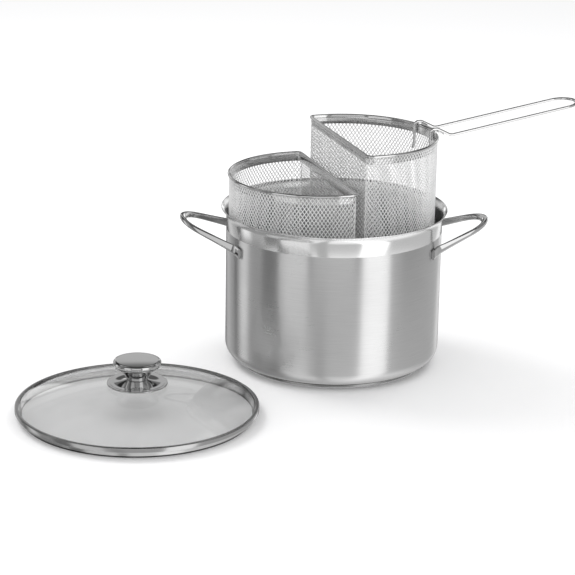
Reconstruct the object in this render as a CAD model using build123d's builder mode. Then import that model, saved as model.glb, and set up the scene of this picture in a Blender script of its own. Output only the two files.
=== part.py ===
from build123d import *
from math import asin, atan, cos, degrees, radians, sin, sqrt, tan
import os

# A 24 cm pasta pot with a glass lid beside it, two half-round net baskets drawn up out of
# the pot, and a wire handle hooked over the rim of the right one.
# X runs along the two side handles, Y to the back, Z up. The origin is the middle of the
# pot's foot, on the table. Lengths are in millimetres and angles in degrees.

# Clearances
seat_gap = 0.1
running_gap = 0.3
cut_overrun = 2.0

# Pot
pot_outer_radius = 120.0
pot_wall = 0.8
pot_height = 176.5
pot_corner_radius = 16.0
flare_radius = 10.0
lip_turn = 65.0
base_height = 4.8
base_skin = 0.8
base_edge_radius = 1.2
base_edge_limit_share = 0.3
lip_edge_share = 0.4

# Side handles of the pot, a rod that is flattened where it meets the wall
grip_reach = 48.0
grip_tip_radius = 35.0
grip_arm_angle = 27.5
grip_foot_angle = 27.5
grip_foot_length = 5.0
grip_foot_bend = 8.0
grip_root_drop = 35.7
grip_rise = 21.0
grip_root_thickness = 3.6
grip_root_depth = 11.6
grip_tip_thickness = 7.0
grip_tip_depth = 5.8
grip_corner_share = 0.42
grip_stations = 28

# Lid, lying on the table in front of the pot and to its left
lid_centre_x = -213.0
lid_centre_y = -186.0
lid_overhang = 2.4
lid_ring_sheet = 0.8
lid_ring_height = 12.3
lid_edge_radius = 1.2
lid_lip_width = 3.6
lid_shelf_inset = 4.8
lid_skirt_inset = 6.6
glass_thickness = 3.8
glass_apex_height = 35.6

# Knob of the lid
knob_top_height = 61.0
knob_top_radius = 23.2
knob_head_radius = 25.2
knob_head_edge = 3.2
knob_head_depth = 6.4
knob_under_radius = 24.0
knob_neck_radius = 11.3
knob_neck_sagitta = 1.7
knob_joint_height = 39.8
knob_base_radius = 32.0
knob_base_rim = 1.9
knob_base_sagitta = 1.0
knob_base_recess_radius = 29.0
knob_edge_radius = 0.8
screw_radius = 2.9
screw_head_radius = 5.5
screw_head_height = 2.8
screw_length = 22.0
glass_hole_radius = 4.2
washer_radius = 9.0
washer_thickness = 1.0
seal_thickness = 0.8
screw_cross_width = 1.2
screw_cross_length = 5.0
screw_cross_depth = 1.4

# Baskets, half-round nets on a rolled rim
basket_offset = 20.1
basket_chord = 14.2
basket_corner_radius = 7.0
basket_height = 155.0
basket_axis_turn = 16.4
basket_side_shift = 5.3
left_rim_rise = 38.9
right_rim_rise = 83.0
right_wall_gap = 6.2
rim_bead_radius = 1.6
rim_band_height = 10.8
rim_band_sheet = 0.8
net_inset = 1.3
net_thickness = 1.2
net_strand = 2.2
wall_net_columns = 20
wall_net_rows = 8
flat_net_columns = 17
flat_net_rows = 9
floor_net_pitch_x = 9.4
floor_net_pitch_y = 14.0
seam_width = 7.0
seam_inset = 1.0
hem_height = 3.0
hem_width = 2.6
hem_edge_share = 0.2

# Wire handle on the right basket
wire_radius = 1.65
wire_spacing = 38.8
wire_turn = 5.9
wire_leg_length = 25.0
wire_tip_length = 5.0
wire_tip_hook = 1.6
wire_bend_radius = 4.0
wire_crest_length = 8.4
wire_crest_bend = 7.0
wire_valley_reach = 17.0
wire_valley_drop = 8.6
wire_valley_bend = 12.0
wire_grip_length = 169.0
wire_grip_rise = 7.6
bridge_width = 8.0
bridge_thickness = 1.5
bridge_edge_share = 0.3

os.makedirs("parts", exist_ok=True)


def save(piece, label):
    """Name a finished piece and write its file."""
    piece.part.label = label
    export_step(piece.part, f"parts/{label}.step")


# Values that the driving sizes lead to
pot_inner_radius = pot_outer_radius - pot_wall
pot_floor_height = base_height + pot_wall
base_radius = pot_outer_radius - pot_corner_radius
lip_radius = pot_outer_radius + flare_radius * (1 - cos(radians(lip_turn)))
flare_start_height = pot_height - (flare_radius + pot_wall) * sin(radians(lip_turn))
grip_root_height = pot_height - grip_root_drop
lid_radius = lip_radius + lid_overhang
lid_shelf_inner_radius = lid_radius - lid_shelf_inset
lid_skirt_foot_radius = lid_radius - lid_skirt_inset
basket_radius = pot_inner_radius - running_gap - basket_offset
left_rim_height = pot_height + left_rim_rise
right_rim_height = pot_height + right_rim_rise


# Pot shell: drawn in one piece, from the floor over the round corner to the pouring lip
with BuildPart() as pot_shell:
    with BuildSketch(Plane.XZ):
        with BuildLine():
            floor_under = Line((0, base_height), (base_radius, base_height))
            corner_out = CenterArc(
                (base_radius, base_height + pot_corner_radius), pot_corner_radius, -90, 90
            )
            wall_out = Line(corner_out @ 1, (pot_outer_radius, flare_start_height))
            flare_out = CenterArc(
                (pot_outer_radius + flare_radius, flare_start_height), flare_radius, 180, -lip_turn
            )
            flare_in = CenterArc(
                (pot_outer_radius + flare_radius, flare_start_height),
                flare_radius + pot_wall, 180, -lip_turn,
            )
            Line(flare_out @ 1, flare_in @ 1)
            corner_in = CenterArc(
                (base_radius, base_height + pot_corner_radius),
                pot_corner_radius - pot_wall, -90, 90,
            )
            Line(flare_in @ 0, corner_in @ 1)
            Line(corner_in @ 0, (0, pot_floor_height))
            Line((0, pot_floor_height), floor_under @ 0)
        make_face()
    revolve(axis=Axis.Z)
    lip_edges = pot_shell.edges().filter_by(GeomType.CIRCLE).sort_by(Axis.Z)[-2:]
    fillet(lip_edges, lip_edge_share * pot_wall)
save(pot_shell, "pot_shell")

# Foot of the pot: an aluminium disc for the heat, closed in by a steel cap
with BuildPart() as base_cap:
    with BuildSketch():
        Circle(base_radius)
    extrude(amount=base_height)
    with BuildSketch(Plane.XY.offset(base_skin)):
        Circle(base_radius - base_skin)
    extrude(amount=base_height, mode=Mode.SUBTRACT)
    base_edge = base_cap.edges().group_by(Axis.Z)[0]
    fillet(base_edge, min(base_edge_radius, base_edge_limit_share * base_height))
save(base_cap, "base_cap")

with BuildPart() as base_core:
    with BuildSketch(Plane.XY.offset(base_skin)):
        Circle(base_radius - base_skin - seat_gap)
    extrude(amount=base_height - base_skin)
save(base_core, "base_core")


# Side handles: the centre line in plan is two arms that meet in a round tip, each with a
# foot that turns outwards and lies along the wall
grip_line_radius = pot_outer_radius + seat_gap + grip_root_thickness / 2
grip_tip = pot_outer_radius + grip_reach
grip_apex = grip_tip + grip_tip_radius / sin(radians(grip_arm_angle)) - grip_tip_radius
grip_arm_run = (grip_apex * cos(radians(grip_foot_angle)) - grip_line_radius) / cos(
    radians(grip_arm_angle + grip_foot_angle)
)
grip_knee_x = grip_apex - grip_arm_run * cos(radians(grip_arm_angle))
grip_knee_y = grip_arm_run * sin(radians(grip_arm_angle))
grip_end_x = grip_line_radius * cos(radians(grip_foot_angle)) - grip_foot_length * sin(
    radians(grip_foot_angle)
)
grip_end_y = grip_line_radius * sin(radians(grip_foot_angle)) + grip_foot_length * cos(
    radians(grip_foot_angle)
)

with BuildLine() as grip_path:
    FilletPolyline(
        (grip_end_x, -grip_end_y), (grip_knee_x, -grip_knee_y), (grip_apex, 0),
        (grip_knee_x, grip_knee_y), (grip_end_x, grip_end_y),
        radius=[grip_foot_bend, grip_tip_radius, grip_foot_bend],
    )
grip_wire = grip_path.wires()[0]


def grip_plane(share, turn):
    """Upright plane across the side handle at a share of its length, and how far out it is."""
    spot = grip_wire @ share
    heading = grip_wire % share
    height = grip_root_height + (spot.X - grip_knee_x) * tan(radians(grip_rise))
    place = Plane(
        origin=(spot.X, spot.Y, height),
        x_dir=(heading.Y, -heading.X, 0),
        z_dir=(heading.X, heading.Y, 0),
    )
    out_share = min(1, max(0, (spot.X - grip_knee_x) / (grip_tip - grip_knee_x)))
    return Plane(Location((0, 0, 0), (0, 0, turn)) * place.location), out_share


for label, turn in (("right_handle", 0), ("left_handle", 180)):
    with BuildPart() as grip:
        for station in range(grip_stations + 1):
            plane, out_share = grip_plane(station / grip_stations, turn)
            thickness = grip_root_thickness + (grip_tip_thickness - grip_root_thickness) * out_share
            depth = grip_root_depth + (grip_tip_depth - grip_root_depth) * sqrt(out_share)
            with BuildSketch(plane):
                RectangleRounded(thickness, depth, grip_corner_share * min(thickness, depth))
        loft()
    save(grip, label)


# Lid: upright plane through its axis, and a level plane on the table under it
lid_side = Plane(origin=(lid_centre_x, lid_centre_y, 0), x_dir=(1, 0, 0), z_dir=(0, -1, 0))
lid_foot = Plane(origin=(lid_centre_x, lid_centre_y, 0))
lid_axis = Axis((lid_centre_x, lid_centre_y, 0), (0, 0, 1))

lid_channel_top = lid_ring_height - lid_ring_sheet
lid_shelf_height = lid_channel_top - glass_thickness - 2 * seat_gap
lid_lip_radius = lid_radius - lid_lip_width
lid_channel_radius = lid_radius - lid_ring_sheet

# Steel ring: a skirt that seats in the pot's lip, a shelf and a channel round the glass
with BuildPart() as lid_ring:
    with BuildSketch(lid_side) as ring_section:
        with BuildLine():
            Polyline(
                (lid_skirt_foot_radius, 0),
                (lid_shelf_inner_radius, lid_shelf_height - lid_ring_sheet),
                (lid_radius, lid_shelf_height - lid_ring_sheet),
                (lid_radius, lid_ring_height),
                (lid_lip_radius, lid_ring_height),
                (lid_lip_radius, lid_channel_top),
                (lid_channel_radius, lid_channel_top),
                (lid_channel_radius, lid_shelf_height),
                (lid_shelf_inner_radius - lid_ring_sheet, lid_shelf_height),
                (lid_skirt_foot_radius - lid_ring_sheet, 0),
                close=True,
            )
        make_face()
        fillet(ring_section.vertices().group_by(Axis.X)[-1], lid_edge_radius)
    revolve(axis=lid_axis)
save(lid_ring, "lid_ring")

# Glass: a dome with a flat edge that lies in the ring's channel
glass_edge_radius = lid_channel_radius - seat_gap
glass_edge_top = lid_channel_top - seat_gap
glass_edge_foot = lid_shelf_height + seat_gap
dome_radius_top = lid_lip_radius - running_gap
dome_rise = glass_apex_height - glass_edge_top
dome_sphere = (dome_radius_top**2 + dome_rise**2) / (2 * dome_rise)
dome_centre = glass_apex_height - dome_sphere
dome_angle = degrees(asin(dome_radius_top / dome_sphere))
under_sphere = dome_sphere - glass_thickness
under_angle = degrees(
    atan(sqrt(under_sphere**2 - (glass_edge_foot - dome_centre) ** 2)
         / (glass_edge_foot - dome_centre))
)


def dome_height(reach):
    """Height of the glass's upper face at a distance from the lid's axis."""
    return dome_centre + sqrt(dome_sphere**2 - reach**2)


with BuildPart() as lid_glass:
    with BuildSketch(lid_side):
        with BuildLine():
            dome_top = CenterArc((0, dome_centre), dome_sphere, 90 - dome_angle, dome_angle)
            dome_under = CenterArc((0, dome_centre), under_sphere, 90 - under_angle, under_angle)
            Polyline(
                dome_top @ 0,
                (glass_edge_radius, glass_edge_top),
                (glass_edge_radius, glass_edge_foot),
                dome_under @ 0,
            )
            Line(dome_top @ 1, dome_under @ 1)
        make_face()
    revolve(axis=lid_axis)
    with BuildSketch(lid_foot):
        Circle(glass_hole_radius)
    extrude(amount=glass_apex_height + cut_overrun, mode=Mode.SUBTRACT)
save(lid_glass, "lid_glass")

# Knob: a clear seal on the glass, a trumpet base, a mushroom head, and a screw from below
seal_top = glass_apex_height + seat_gap + seal_thickness
base_ceiling = seal_top + seat_gap
base_foot_height = dome_height(knob_base_recess_radius) + seat_gap
screw_hole_radius = screw_radius + seat_gap
seal_radius = knob_base_recess_radius - running_gap
seal_sphere = dome_sphere + seat_gap
seal_angle = degrees(asin(seal_radius / seal_sphere))
seal_hole_angle = degrees(asin(glass_hole_radius / seal_sphere))

with BuildPart() as knob_seal:
    with BuildSketch(lid_side):
        with BuildLine():
            seal_under = CenterArc(
                (0, dome_centre), seal_sphere, 90 - seal_angle, seal_angle - seal_hole_angle
            )
            Polyline(
                seal_under @ 0, (seal_radius, seal_top), (glass_hole_radius, seal_top), seal_under @ 1
            )
        make_face()
    revolve(axis=lid_axis)
save(knob_seal, "knob_seal")

with BuildPart() as knob_base:
    with BuildSketch(lid_side) as base_section:
        with BuildLine():
            SagittaArc(
                (knob_neck_radius, knob_joint_height),
                (knob_base_radius, base_foot_height + knob_base_rim),
                knob_base_sagitta,
            )
            Polyline(
                (knob_base_radius, base_foot_height + knob_base_rim),
                (knob_base_radius, base_foot_height),
                (knob_base_recess_radius, base_foot_height),
                (knob_base_recess_radius, base_ceiling),
                (screw_hole_radius, base_ceiling),
                (screw_hole_radius, knob_joint_height),
                (knob_neck_radius, knob_joint_height),
            )
        make_face()
        fillet(base_section.vertices().group_by(Axis.X)[-1], knob_edge_radius)
    revolve(axis=lid_axis)
save(knob_base, "knob_base")

washer_top = dome_centre + sqrt(under_sphere**2 - washer_radius**2) - seat_gap
washer_foot = washer_top - washer_thickness
screw_tip = washer_foot + screw_length
head_foot = knob_joint_height + seat_gap
head_under = knob_top_height - knob_head_depth

with BuildPart() as knob_head:
    with BuildSketch(lid_side):
        with BuildLine():
            SagittaArc(
                (knob_neck_radius, head_foot), (knob_under_radius, head_under), knob_neck_sagitta
            )
            ThreePointArc(
                (knob_under_radius, head_under),
                (knob_head_radius, knob_top_height - knob_head_edge),
                (knob_top_radius, knob_top_height),
            )
            Polyline(
                (knob_top_radius, knob_top_height), (0, knob_top_height),
                (0, head_foot), (knob_neck_radius, head_foot),
            )
        make_face()
    revolve(axis=lid_axis)
    with BuildSketch(lid_foot.offset(head_foot)):
        Circle(screw_hole_radius)
    extrude(amount=screw_tip + seat_gap - head_foot, mode=Mode.SUBTRACT)
save(knob_head, "knob_head")

with BuildPart() as knob_washer:
    with BuildSketch(lid_foot.offset(washer_foot)):
        Circle(washer_radius)
        Circle(screw_hole_radius, mode=Mode.SUBTRACT)
    extrude(amount=washer_thickness)
save(knob_washer, "knob_washer")

with BuildPart() as knob_screw:
    with BuildSketch(lid_foot.offset(washer_foot - screw_head_height)):
        Circle(screw_head_radius)
    extrude(amount=screw_head_height)
    with BuildSketch(lid_foot.offset(washer_foot)):
        Circle(screw_radius)
    extrude(amount=screw_length)
    with BuildSketch(lid_foot.offset(washer_foot - screw_head_height)):
        Rectangle(screw_cross_length, screw_cross_width)
        Rectangle(screw_cross_width, screw_cross_length)
    extrude(amount=screw_cross_depth, mode=Mode.SUBTRACT)
save(knob_screw, "knob_screw")


# Baskets: each is drawn about the centre of its round side, with local X towards that side
band_inset = net_inset + net_thickness + seat_gap
net_inner_inset = net_inset + net_thickness
flat_reach = basket_chord - net_inset
half_chord = sqrt((basket_radius - net_inset) ** 2 - flat_reach**2)
flat_half_width = half_chord - seam_width
arc_start_x = seam_width - flat_reach
wall_foot = hem_height + seat_gap
wall_top = basket_height - 2 * rim_bead_radius - seat_gap
wall_rise = wall_top - wall_foot
far_side = 2 * basket_radius


def half_round(inset):
    """Half-round outline of a basket, drawn inwards from its rim by an inset."""
    with BuildSketch(mode=Mode.PRIVATE) as outline:
        Circle(basket_radius - inset)
        with Locations((inset - basket_chord, 0)):
            Rectangle(far_side, far_side, align=(Align.MAX, Align.CENTER), mode=Mode.SUBTRACT)
        fillet(outline.vertices(), basket_corner_radius - inset)
    return outline.sketch


rim_path_face = half_round(rim_bead_radius)
band_outer = half_round(band_inset)
band_inner = half_round(band_inset + rim_band_sheet)
hem_outer = half_round(0)
hem_inner = half_round(hem_width)
floor_face = half_round(hem_width + seat_gap)
wall_outer = half_round(net_inset)
wall_inner = half_round(net_inner_inset)
seam_outer = half_round(seam_inset)

# Gaps of the flat net, in staggered rows, as places on the net's middle
flat_pitch_x = 2 * flat_half_width / (flat_net_columns + 1)
flat_pitch_y = wall_rise / (flat_net_rows + 1)
flat_spots = [
    ((column - (flat_net_columns - 1) / 2 + (row % 2) / 2) * flat_pitch_x,
     (row - flat_net_rows + 1) / 2 * flat_pitch_y)
    for row in range(2 * flat_net_rows - 1)
    for column in range(flat_net_columns - row % 2)
]

# Gaps of the round net, as an angle from the middle of the round side and a height
arc_half_angle = 90 - degrees(asin(arc_start_x / (basket_radius - net_inset)))
arc_pitch = 2 * arc_half_angle / (wall_net_columns + 1)
arc_pitch_length = radians(arc_pitch) * (basket_radius - net_inset)
arc_pitch_y = wall_rise / (wall_net_rows + 1)
arc_spots = [
    ((column - (wall_net_columns - 1) / 2 + (row % 2) / 2) * arc_pitch,
     wall_foot + wall_rise / 2 + (row - wall_net_rows + 1) / 2 * arc_pitch_y)
    for row in range(2 * wall_net_rows - 1)
    for column in range(wall_net_columns - row % 2)
]

# Gaps of the floor net, kept clear of its edge
floor_clear_radius = basket_radius - hem_width - floor_net_pitch_y
floor_clear_x = floor_net_pitch_x - basket_chord + hem_width
floor_columns = int(basket_radius / floor_net_pitch_x)
floor_rows = int(2 * basket_radius / floor_net_pitch_y)
floor_spots = [
    (column * floor_net_pitch_x + (row % 2) / 2 * floor_net_pitch_x, row / 2 * floor_net_pitch_y)
    for row in range(-floor_rows, floor_rows + 1)
    for column in range(-floor_columns, floor_columns + 1)
]
floor_spots = [
    spot for spot in floor_spots
    if spot[0] ** 2 + spot[1] ** 2 < floor_clear_radius**2 and spot[0] > floor_clear_x
]


def diamond(pitch_x, pitch_y):
    """Corners of a net's gap: the diamond of its pitch, less the strand round it."""
    edge = sqrt(pitch_x**2 + pitch_y**2)
    half_x = pitch_x / 2 - net_strand * edge / (2 * pitch_y)
    half_y = pitch_y / 2 - net_strand * edge / (2 * pitch_x)
    return [(half_x, 0), (0, half_y), (-half_x, 0), (0, -half_y)]


# The round net's gap as a prism, which is copied to every place on the round side
gap_start_radius = basket_radius - net_inner_inset - cut_overrun
with BuildPart() as gap_prism:
    with BuildSketch():
        Polygon(*diamond(arc_pitch_length, arc_pitch_y))
    extrude(amount=net_thickness + 2 * cut_overrun)


def make_basket(name, turn, centre_x, centre_y, rim_height):
    """Build the seven pieces of one basket round the centre of its round side."""
    across = (cos(radians(turn)), sin(radians(turn)), 0)
    along = (-sin(radians(turn)), cos(radians(turn)), 0)
    foot_height = rim_height - basket_height

    def level(height):
        return Plane(origin=(centre_x, centre_y, foot_height + height), x_dir=across)

    with BuildPart() as rim:
        with BuildSketch(level(basket_height - rim_bead_radius)):
            add(band_outer)
            add(band_inner, mode=Mode.SUBTRACT)
        extrude(amount=rim_bead_radius - rim_band_height)
        bead_path = level(basket_height - rim_bead_radius) * rim_path_face.faces()[0].outer_wire()
        with BuildSketch(Plane(origin=bead_path @ 0, z_dir=bead_path % 0)):
            Circle(rim_bead_radius)
        sweep(path=bead_path)
    save(rim, f"{name}_rim")

    with BuildPart() as hem:
        with BuildSketch(level(0)):
            add(hem_outer)
            add(hem_inner, mode=Mode.SUBTRACT)
        extrude(amount=hem_height)
        level_edges = hem.edges().group_by(Axis.Z)
        fillet(level_edges[0] + level_edges[-1], hem_edge_share * hem_width)
    save(hem, f"{name}_bottom_rim")

    with BuildPart() as floor_net:
        with BuildSketch(level((hem_height - net_thickness) / 2)):
            add(floor_face)
            with Locations(*floor_spots):
                Polygon(*diamond(floor_net_pitch_x, floor_net_pitch_y), mode=Mode.SUBTRACT)
        extrude(amount=net_thickness)
    save(floor_net, f"{name}_floor_net")

    flat_plane = Plane(
        origin=(
            centre_x - flat_reach * across[0],
            centre_y - flat_reach * across[1],
            foot_height + wall_foot + wall_rise / 2,
        ),
        x_dir=along,
        z_dir=across,
    )
    with BuildPart() as flat_net:
        with BuildSketch(flat_plane):
            Rectangle(2 * flat_half_width, wall_rise)
            with Locations(*flat_spots):
                Polygon(*diamond(flat_pitch_x, flat_pitch_y), mode=Mode.SUBTRACT)
        extrude(amount=net_thickness)
    save(flat_net, f"{name}_flat_net")

    gap_tools = []
    for angle, height in arc_spots:
        out_x = cos(radians(turn + angle))
        out_y = sin(radians(turn + angle))
        gap_place = Plane(
            origin=(
                centre_x + gap_start_radius * out_x,
                centre_y + gap_start_radius * out_y,
                foot_height + height,
            ),
            x_dir=(-out_y, out_x, 0),
            z_dir=(out_x, out_y, 0),
        )
        gap_tools.append(gap_prism.part.moved(gap_place.location))
    with BuildPart() as round_net:
        with BuildSketch(level(wall_foot)):
            add(wall_outer)
            add(wall_inner, mode=Mode.SUBTRACT)
            with Locations((arc_start_x, 0)):
                Rectangle(far_side, far_side, align=(Align.MAX, Align.CENTER), mode=Mode.SUBTRACT)
        extrude(amount=wall_rise)
        add(gap_tools, mode=Mode.SUBTRACT, clean=False)
    save(round_net, f"{name}_round_net")

    for end, side, edge in (("front", -1, Align.MAX), ("rear", 1, Align.MIN)):
        corner = (arc_start_x - seat_gap, side * (flat_half_width + seat_gap))
        with BuildPart() as seam:
            with BuildSketch(level(wall_foot)):
                add(seam_outer)
                add(wall_inner, mode=Mode.SUBTRACT)
                with Locations(corner):
                    Rectangle(far_side, far_side, align=(Align.MAX, edge), mode=Mode.INTERSECT)
            extrude(amount=wall_rise)
        save(seam, f"{name}_{end}_seam")


# The left basket leans on the pot's wall, and the right one stands a little further in
axis_x = cos(radians(basket_axis_turn))
axis_y = sin(radians(basket_axis_turn))
left_reach = sqrt(basket_offset**2 - basket_side_shift**2)
right_reach = left_reach - right_wall_gap
left_centre_x = -left_reach * axis_x - basket_side_shift * axis_y
left_centre_y = -left_reach * axis_y + basket_side_shift * axis_x
right_centre_x = right_reach * axis_x + basket_side_shift * axis_y
right_centre_y = right_reach * axis_y - basket_side_shift * axis_x

make_basket("left_basket", basket_axis_turn + 180, left_centre_x, left_centre_y, left_rim_height)
make_basket("right_basket", basket_axis_turn, right_centre_x, right_centre_y, right_rim_height)


# Wire handle: one wire, bent into a grip loop, two crests that lie on the rim, and two legs
# inside the net. Its plane has X outwards over the rim, and Z up from the rim's top.
wire_turn_total = basket_axis_turn + wire_turn
wire_place = Plane(
    origin=(right_centre_x, right_centre_y, right_rim_height),
    x_dir=(cos(radians(wire_turn_total)), sin(radians(wire_turn_total)), 0),
)
wire_half = wire_spacing / 2
band_inner_radius = basket_radius - band_inset - rim_band_sheet
leg_reach = sqrt(band_inner_radius**2 - (wire_half + wire_radius) ** 2) - running_gap - wire_radius
crest_height = wire_radius + running_gap
valley_reach = leg_reach + wire_crest_length + wire_valley_reach
valley_height = crest_height - wire_valley_drop
grip_end_reach = valley_reach + wire_grip_length
grip_end_height = valley_height + wire_grip_length * tan(radians(wire_grip_rise))

wire_profile = [
    (leg_reach - wire_tip_hook, crest_height - wire_leg_length - wire_tip_length),
    (leg_reach, crest_height - wire_leg_length),
    (leg_reach, crest_height),
    (leg_reach + wire_crest_length, crest_height),
    (valley_reach, valley_height),
    (grip_end_reach, grip_end_height),
]
wire_bends = [wire_bend_radius, wire_bend_radius, wire_crest_bend, wire_valley_bend]
wire_points = [wire_place.from_local_coords((x, -wire_half, z)) for x, z in wire_profile]
wire_points += [wire_place.from_local_coords((x, wire_half, z)) for x, z in wire_profile[::-1]]
grip_end_bend = wire_half - seat_gap

with BuildPart() as basket_handle_wire:
    with BuildLine() as wire_path:
        FilletPolyline(
            *wire_points, radius=wire_bends + [grip_end_bend, grip_end_bend] + wire_bends[::-1]
        )
    wire_line = wire_path.wires()[0]
    with BuildSketch(Plane(origin=wire_line @ 0, z_dir=wire_line % 0)):
        Circle(wire_radius)
    sweep(path=wire_line)
save(basket_handle_wire, "basket_handle_wire")

# Bridge plate: welded under both wires where they slope down outside the rim
slope = atan(wire_valley_drop / wire_valley_reach)
bridge_drop = wire_radius + bridge_thickness / 2 + seat_gap
bridge_start = basket_radius + running_gap + bridge_thickness * sin(slope)
bridge_reach = bridge_start + bridge_width / 2 * cos(slope)
bridge_height = (
    crest_height - (bridge_reach - leg_reach - wire_crest_length) * tan(slope)
    - bridge_drop / cos(slope)
)
with BuildPart() as basket_handle_bridge:
    bridge_origin = wire_place.from_local_coords((bridge_reach, 0, bridge_height))
    bridge_x = wire_place.from_local_coords((bridge_reach + cos(slope), 0, bridge_height - sin(slope)))
    with BuildSketch(
        Plane(origin=bridge_origin, x_dir=bridge_x - bridge_origin, z_dir=-wire_place.y_dir)
    ):
        RectangleRounded(bridge_width, bridge_thickness, bridge_edge_share * bridge_thickness)
    extrude(amount=wire_half + wire_radius, both=True)
save(basket_handle_bridge, "basket_handle_bridge")
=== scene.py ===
"""Looks of a pasta pot with two net baskets, a wire handle and a glass lid.

Every piece is modelled in metres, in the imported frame: X runs along the two side handles, Y to
the back and Z up, with the origin in the middle of the pot's foot.
"""

import logging
import math
from dataclasses import dataclass, field
from enum import Enum

import bpy
from mathutils import Matrix, Vector


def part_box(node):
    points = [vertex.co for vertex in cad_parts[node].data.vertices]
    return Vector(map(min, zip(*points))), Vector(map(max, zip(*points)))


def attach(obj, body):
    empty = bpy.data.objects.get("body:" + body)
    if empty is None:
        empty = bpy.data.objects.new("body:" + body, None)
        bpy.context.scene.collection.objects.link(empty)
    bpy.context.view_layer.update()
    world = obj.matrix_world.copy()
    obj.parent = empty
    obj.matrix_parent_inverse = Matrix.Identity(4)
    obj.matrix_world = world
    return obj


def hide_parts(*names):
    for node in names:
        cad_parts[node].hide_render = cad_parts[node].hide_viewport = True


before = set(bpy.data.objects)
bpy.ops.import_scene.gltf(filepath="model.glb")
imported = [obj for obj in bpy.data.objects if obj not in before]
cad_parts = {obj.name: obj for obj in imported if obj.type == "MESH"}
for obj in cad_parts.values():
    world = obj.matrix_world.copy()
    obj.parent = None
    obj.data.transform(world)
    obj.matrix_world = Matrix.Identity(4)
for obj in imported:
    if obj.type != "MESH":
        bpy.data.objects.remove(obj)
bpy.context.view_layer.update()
LOG = logging.getLogger("pasta_pot")

MM = 0.001
WELD = 0.002 * MM
LARGE_STEPS = 256
SMALL_STEPS = 128
ROUND_STEPS = 120
TRIM_STEPS = 24
EDGE_STEPS = 6
BEAD_STEPS = 8
BEND_STEPS = 14
CORNER_STEPS = 18
WIRE_STEPS = 12
SHARP_ANGLE = math.radians(32)

Point2 = tuple[float, float]
Point3 = tuple[float, float, float]
Colour = tuple[float, float, float]
Socket = bpy.types.NodeSocket

WHITE = (1.0, 1.0, 1.0, 1.0)
MID_NOISE = (0.3, 0.7)
WIDE_NOISE = (0.25, 0.75)


class Grain(Enum):
    """Way in which a metal surface is brushed."""

    AROUND = "around"
    CLOUDED = "clouded"


def deselect_all() -> None:
    """Leave edit mode if needed and select nothing."""
    if bpy.context.object is not None and bpy.context.object.mode == "EDIT":
        bpy.ops.object.mode_set(mode="OBJECT")
    bpy.ops.object.select_all(action="DESELECT")


def start_point(place: Point3) -> None:
    """Begin a new mesh in edit mode with one point.

    Args:
        place: Where the point lies.
    """
    deselect_all()
    bpy.ops.mesh.primitive_plane_add(size=1)
    bpy.ops.object.mode_set(mode="EDIT")
    bpy.ops.mesh.select_mode(type="VERT")
    bpy.ops.mesh.select_all(action="SELECT")
    bpy.ops.mesh.merge(type="CENTER")
    bpy.ops.transform.translate(value=place)


def draw_line(points: list[Point3]) -> None:
    """Draw a chain of edges from point to point, and stay in edit mode.

    Args:
        points: The places of the chain. A last point equal to the first closes it.
    """
    start_point(points[0])
    for before, after in zip(points, points[1:]):
        step = Vector(after) - Vector(before)
        bpy.ops.mesh.extrude_region_move(TRANSFORM_OT_translate={"value": step})
    bpy.ops.mesh.select_all(action="SELECT")
    bpy.ops.mesh.remove_doubles(threshold=WELD)


def leave_edit(name: str) -> bpy.types.Object:
    """Finish a mesh that is being edited.

    Args:
        name: Name of the piece.

    Returns:
        The named piece, smooth except at its sharp edges.
    """
    bpy.ops.object.mode_set(mode="OBJECT")
    piece = bpy.context.object
    piece.name = name
    piece.data.name = name
    bpy.ops.object.shade_smooth_by_angle(angle=SHARP_ANGLE)
    return piece


def turn_outwards() -> None:
    """Merge doubled points of the mesh in edit mode and point its faces outwards."""
    bpy.ops.mesh.select_all(action="SELECT")
    bpy.ops.mesh.remove_doubles(threshold=WELD)
    bpy.ops.mesh.normals_make_consistent(inside=False)


def trim_beyond(place: Point3, way: Point3) -> None:
    """Cut off what lies beyond a plane from the mesh in edit mode, and close the cuts.

    Args:
        place: A point of the plane.
        way: Direction that the plane faces.
    """
    bpy.ops.mesh.select_all(action="SELECT")
    bpy.ops.mesh.bisect(
        plane_co=place, plane_no=Vector(way).normalized(), use_fill=True, clear_outer=True,
        threshold=WELD,
    )


def apply_modifiers(piece: bpy.types.Object) -> None:
    """Apply every modifier of a piece, first to last.

    Args:
        piece: The piece with its modifiers.
    """
    deselect_all()
    piece.select_set(True)
    bpy.context.view_layer.objects.active = piece
    for modifier in list(piece.modifiers):
        bpy.ops.object.modifier_apply(modifier=modifier.name)


def place_piece(piece: bpy.types.Object, place: Matrix) -> None:
    """Move a piece's mesh to its place and leave its object at the origin.

    Args:
        piece: The piece, modelled about the origin.
        place: Where it goes, as a matrix.
    """
    deselect_all()
    piece.select_set(True)
    bpy.context.view_layer.objects.active = piece
    piece.matrix_world = place
    bpy.ops.object.transform_apply(location=True, rotation=True, scale=True)


def join_pieces(name: str, pieces: list[bpy.types.Object]) -> bpy.types.Object:
    """Join several meshes into one piece.

    Args:
        name: Name of the joined piece.
        pieces: The meshes to join.

    Returns:
        The joined piece.
    """
    deselect_all()
    for piece in pieces:
        piece.select_set(True)
    bpy.context.view_layer.objects.active = pieces[0]
    bpy.ops.object.join()
    bpy.context.object.name = name
    bpy.context.object.data.name = name
    return bpy.context.object


def arc(centre: Point2, radius: float, start: float, end: float, steps: int) -> list[Point2]:
    """Points of a round stretch.

    Args:
        centre: Centre of the arc.
        radius: Its radius.
        start: First angle in degrees.
        end: Last angle in degrees.
        steps: Number of edges.

    Returns:
        The points from the first angle to the last.
    """
    angles = [math.radians(start + (end - start) * i / steps) for i in range(steps + 1)]
    return [(centre[0] + radius * math.cos(a), centre[1] + radius * math.sin(a)) for a in angles]


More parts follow.
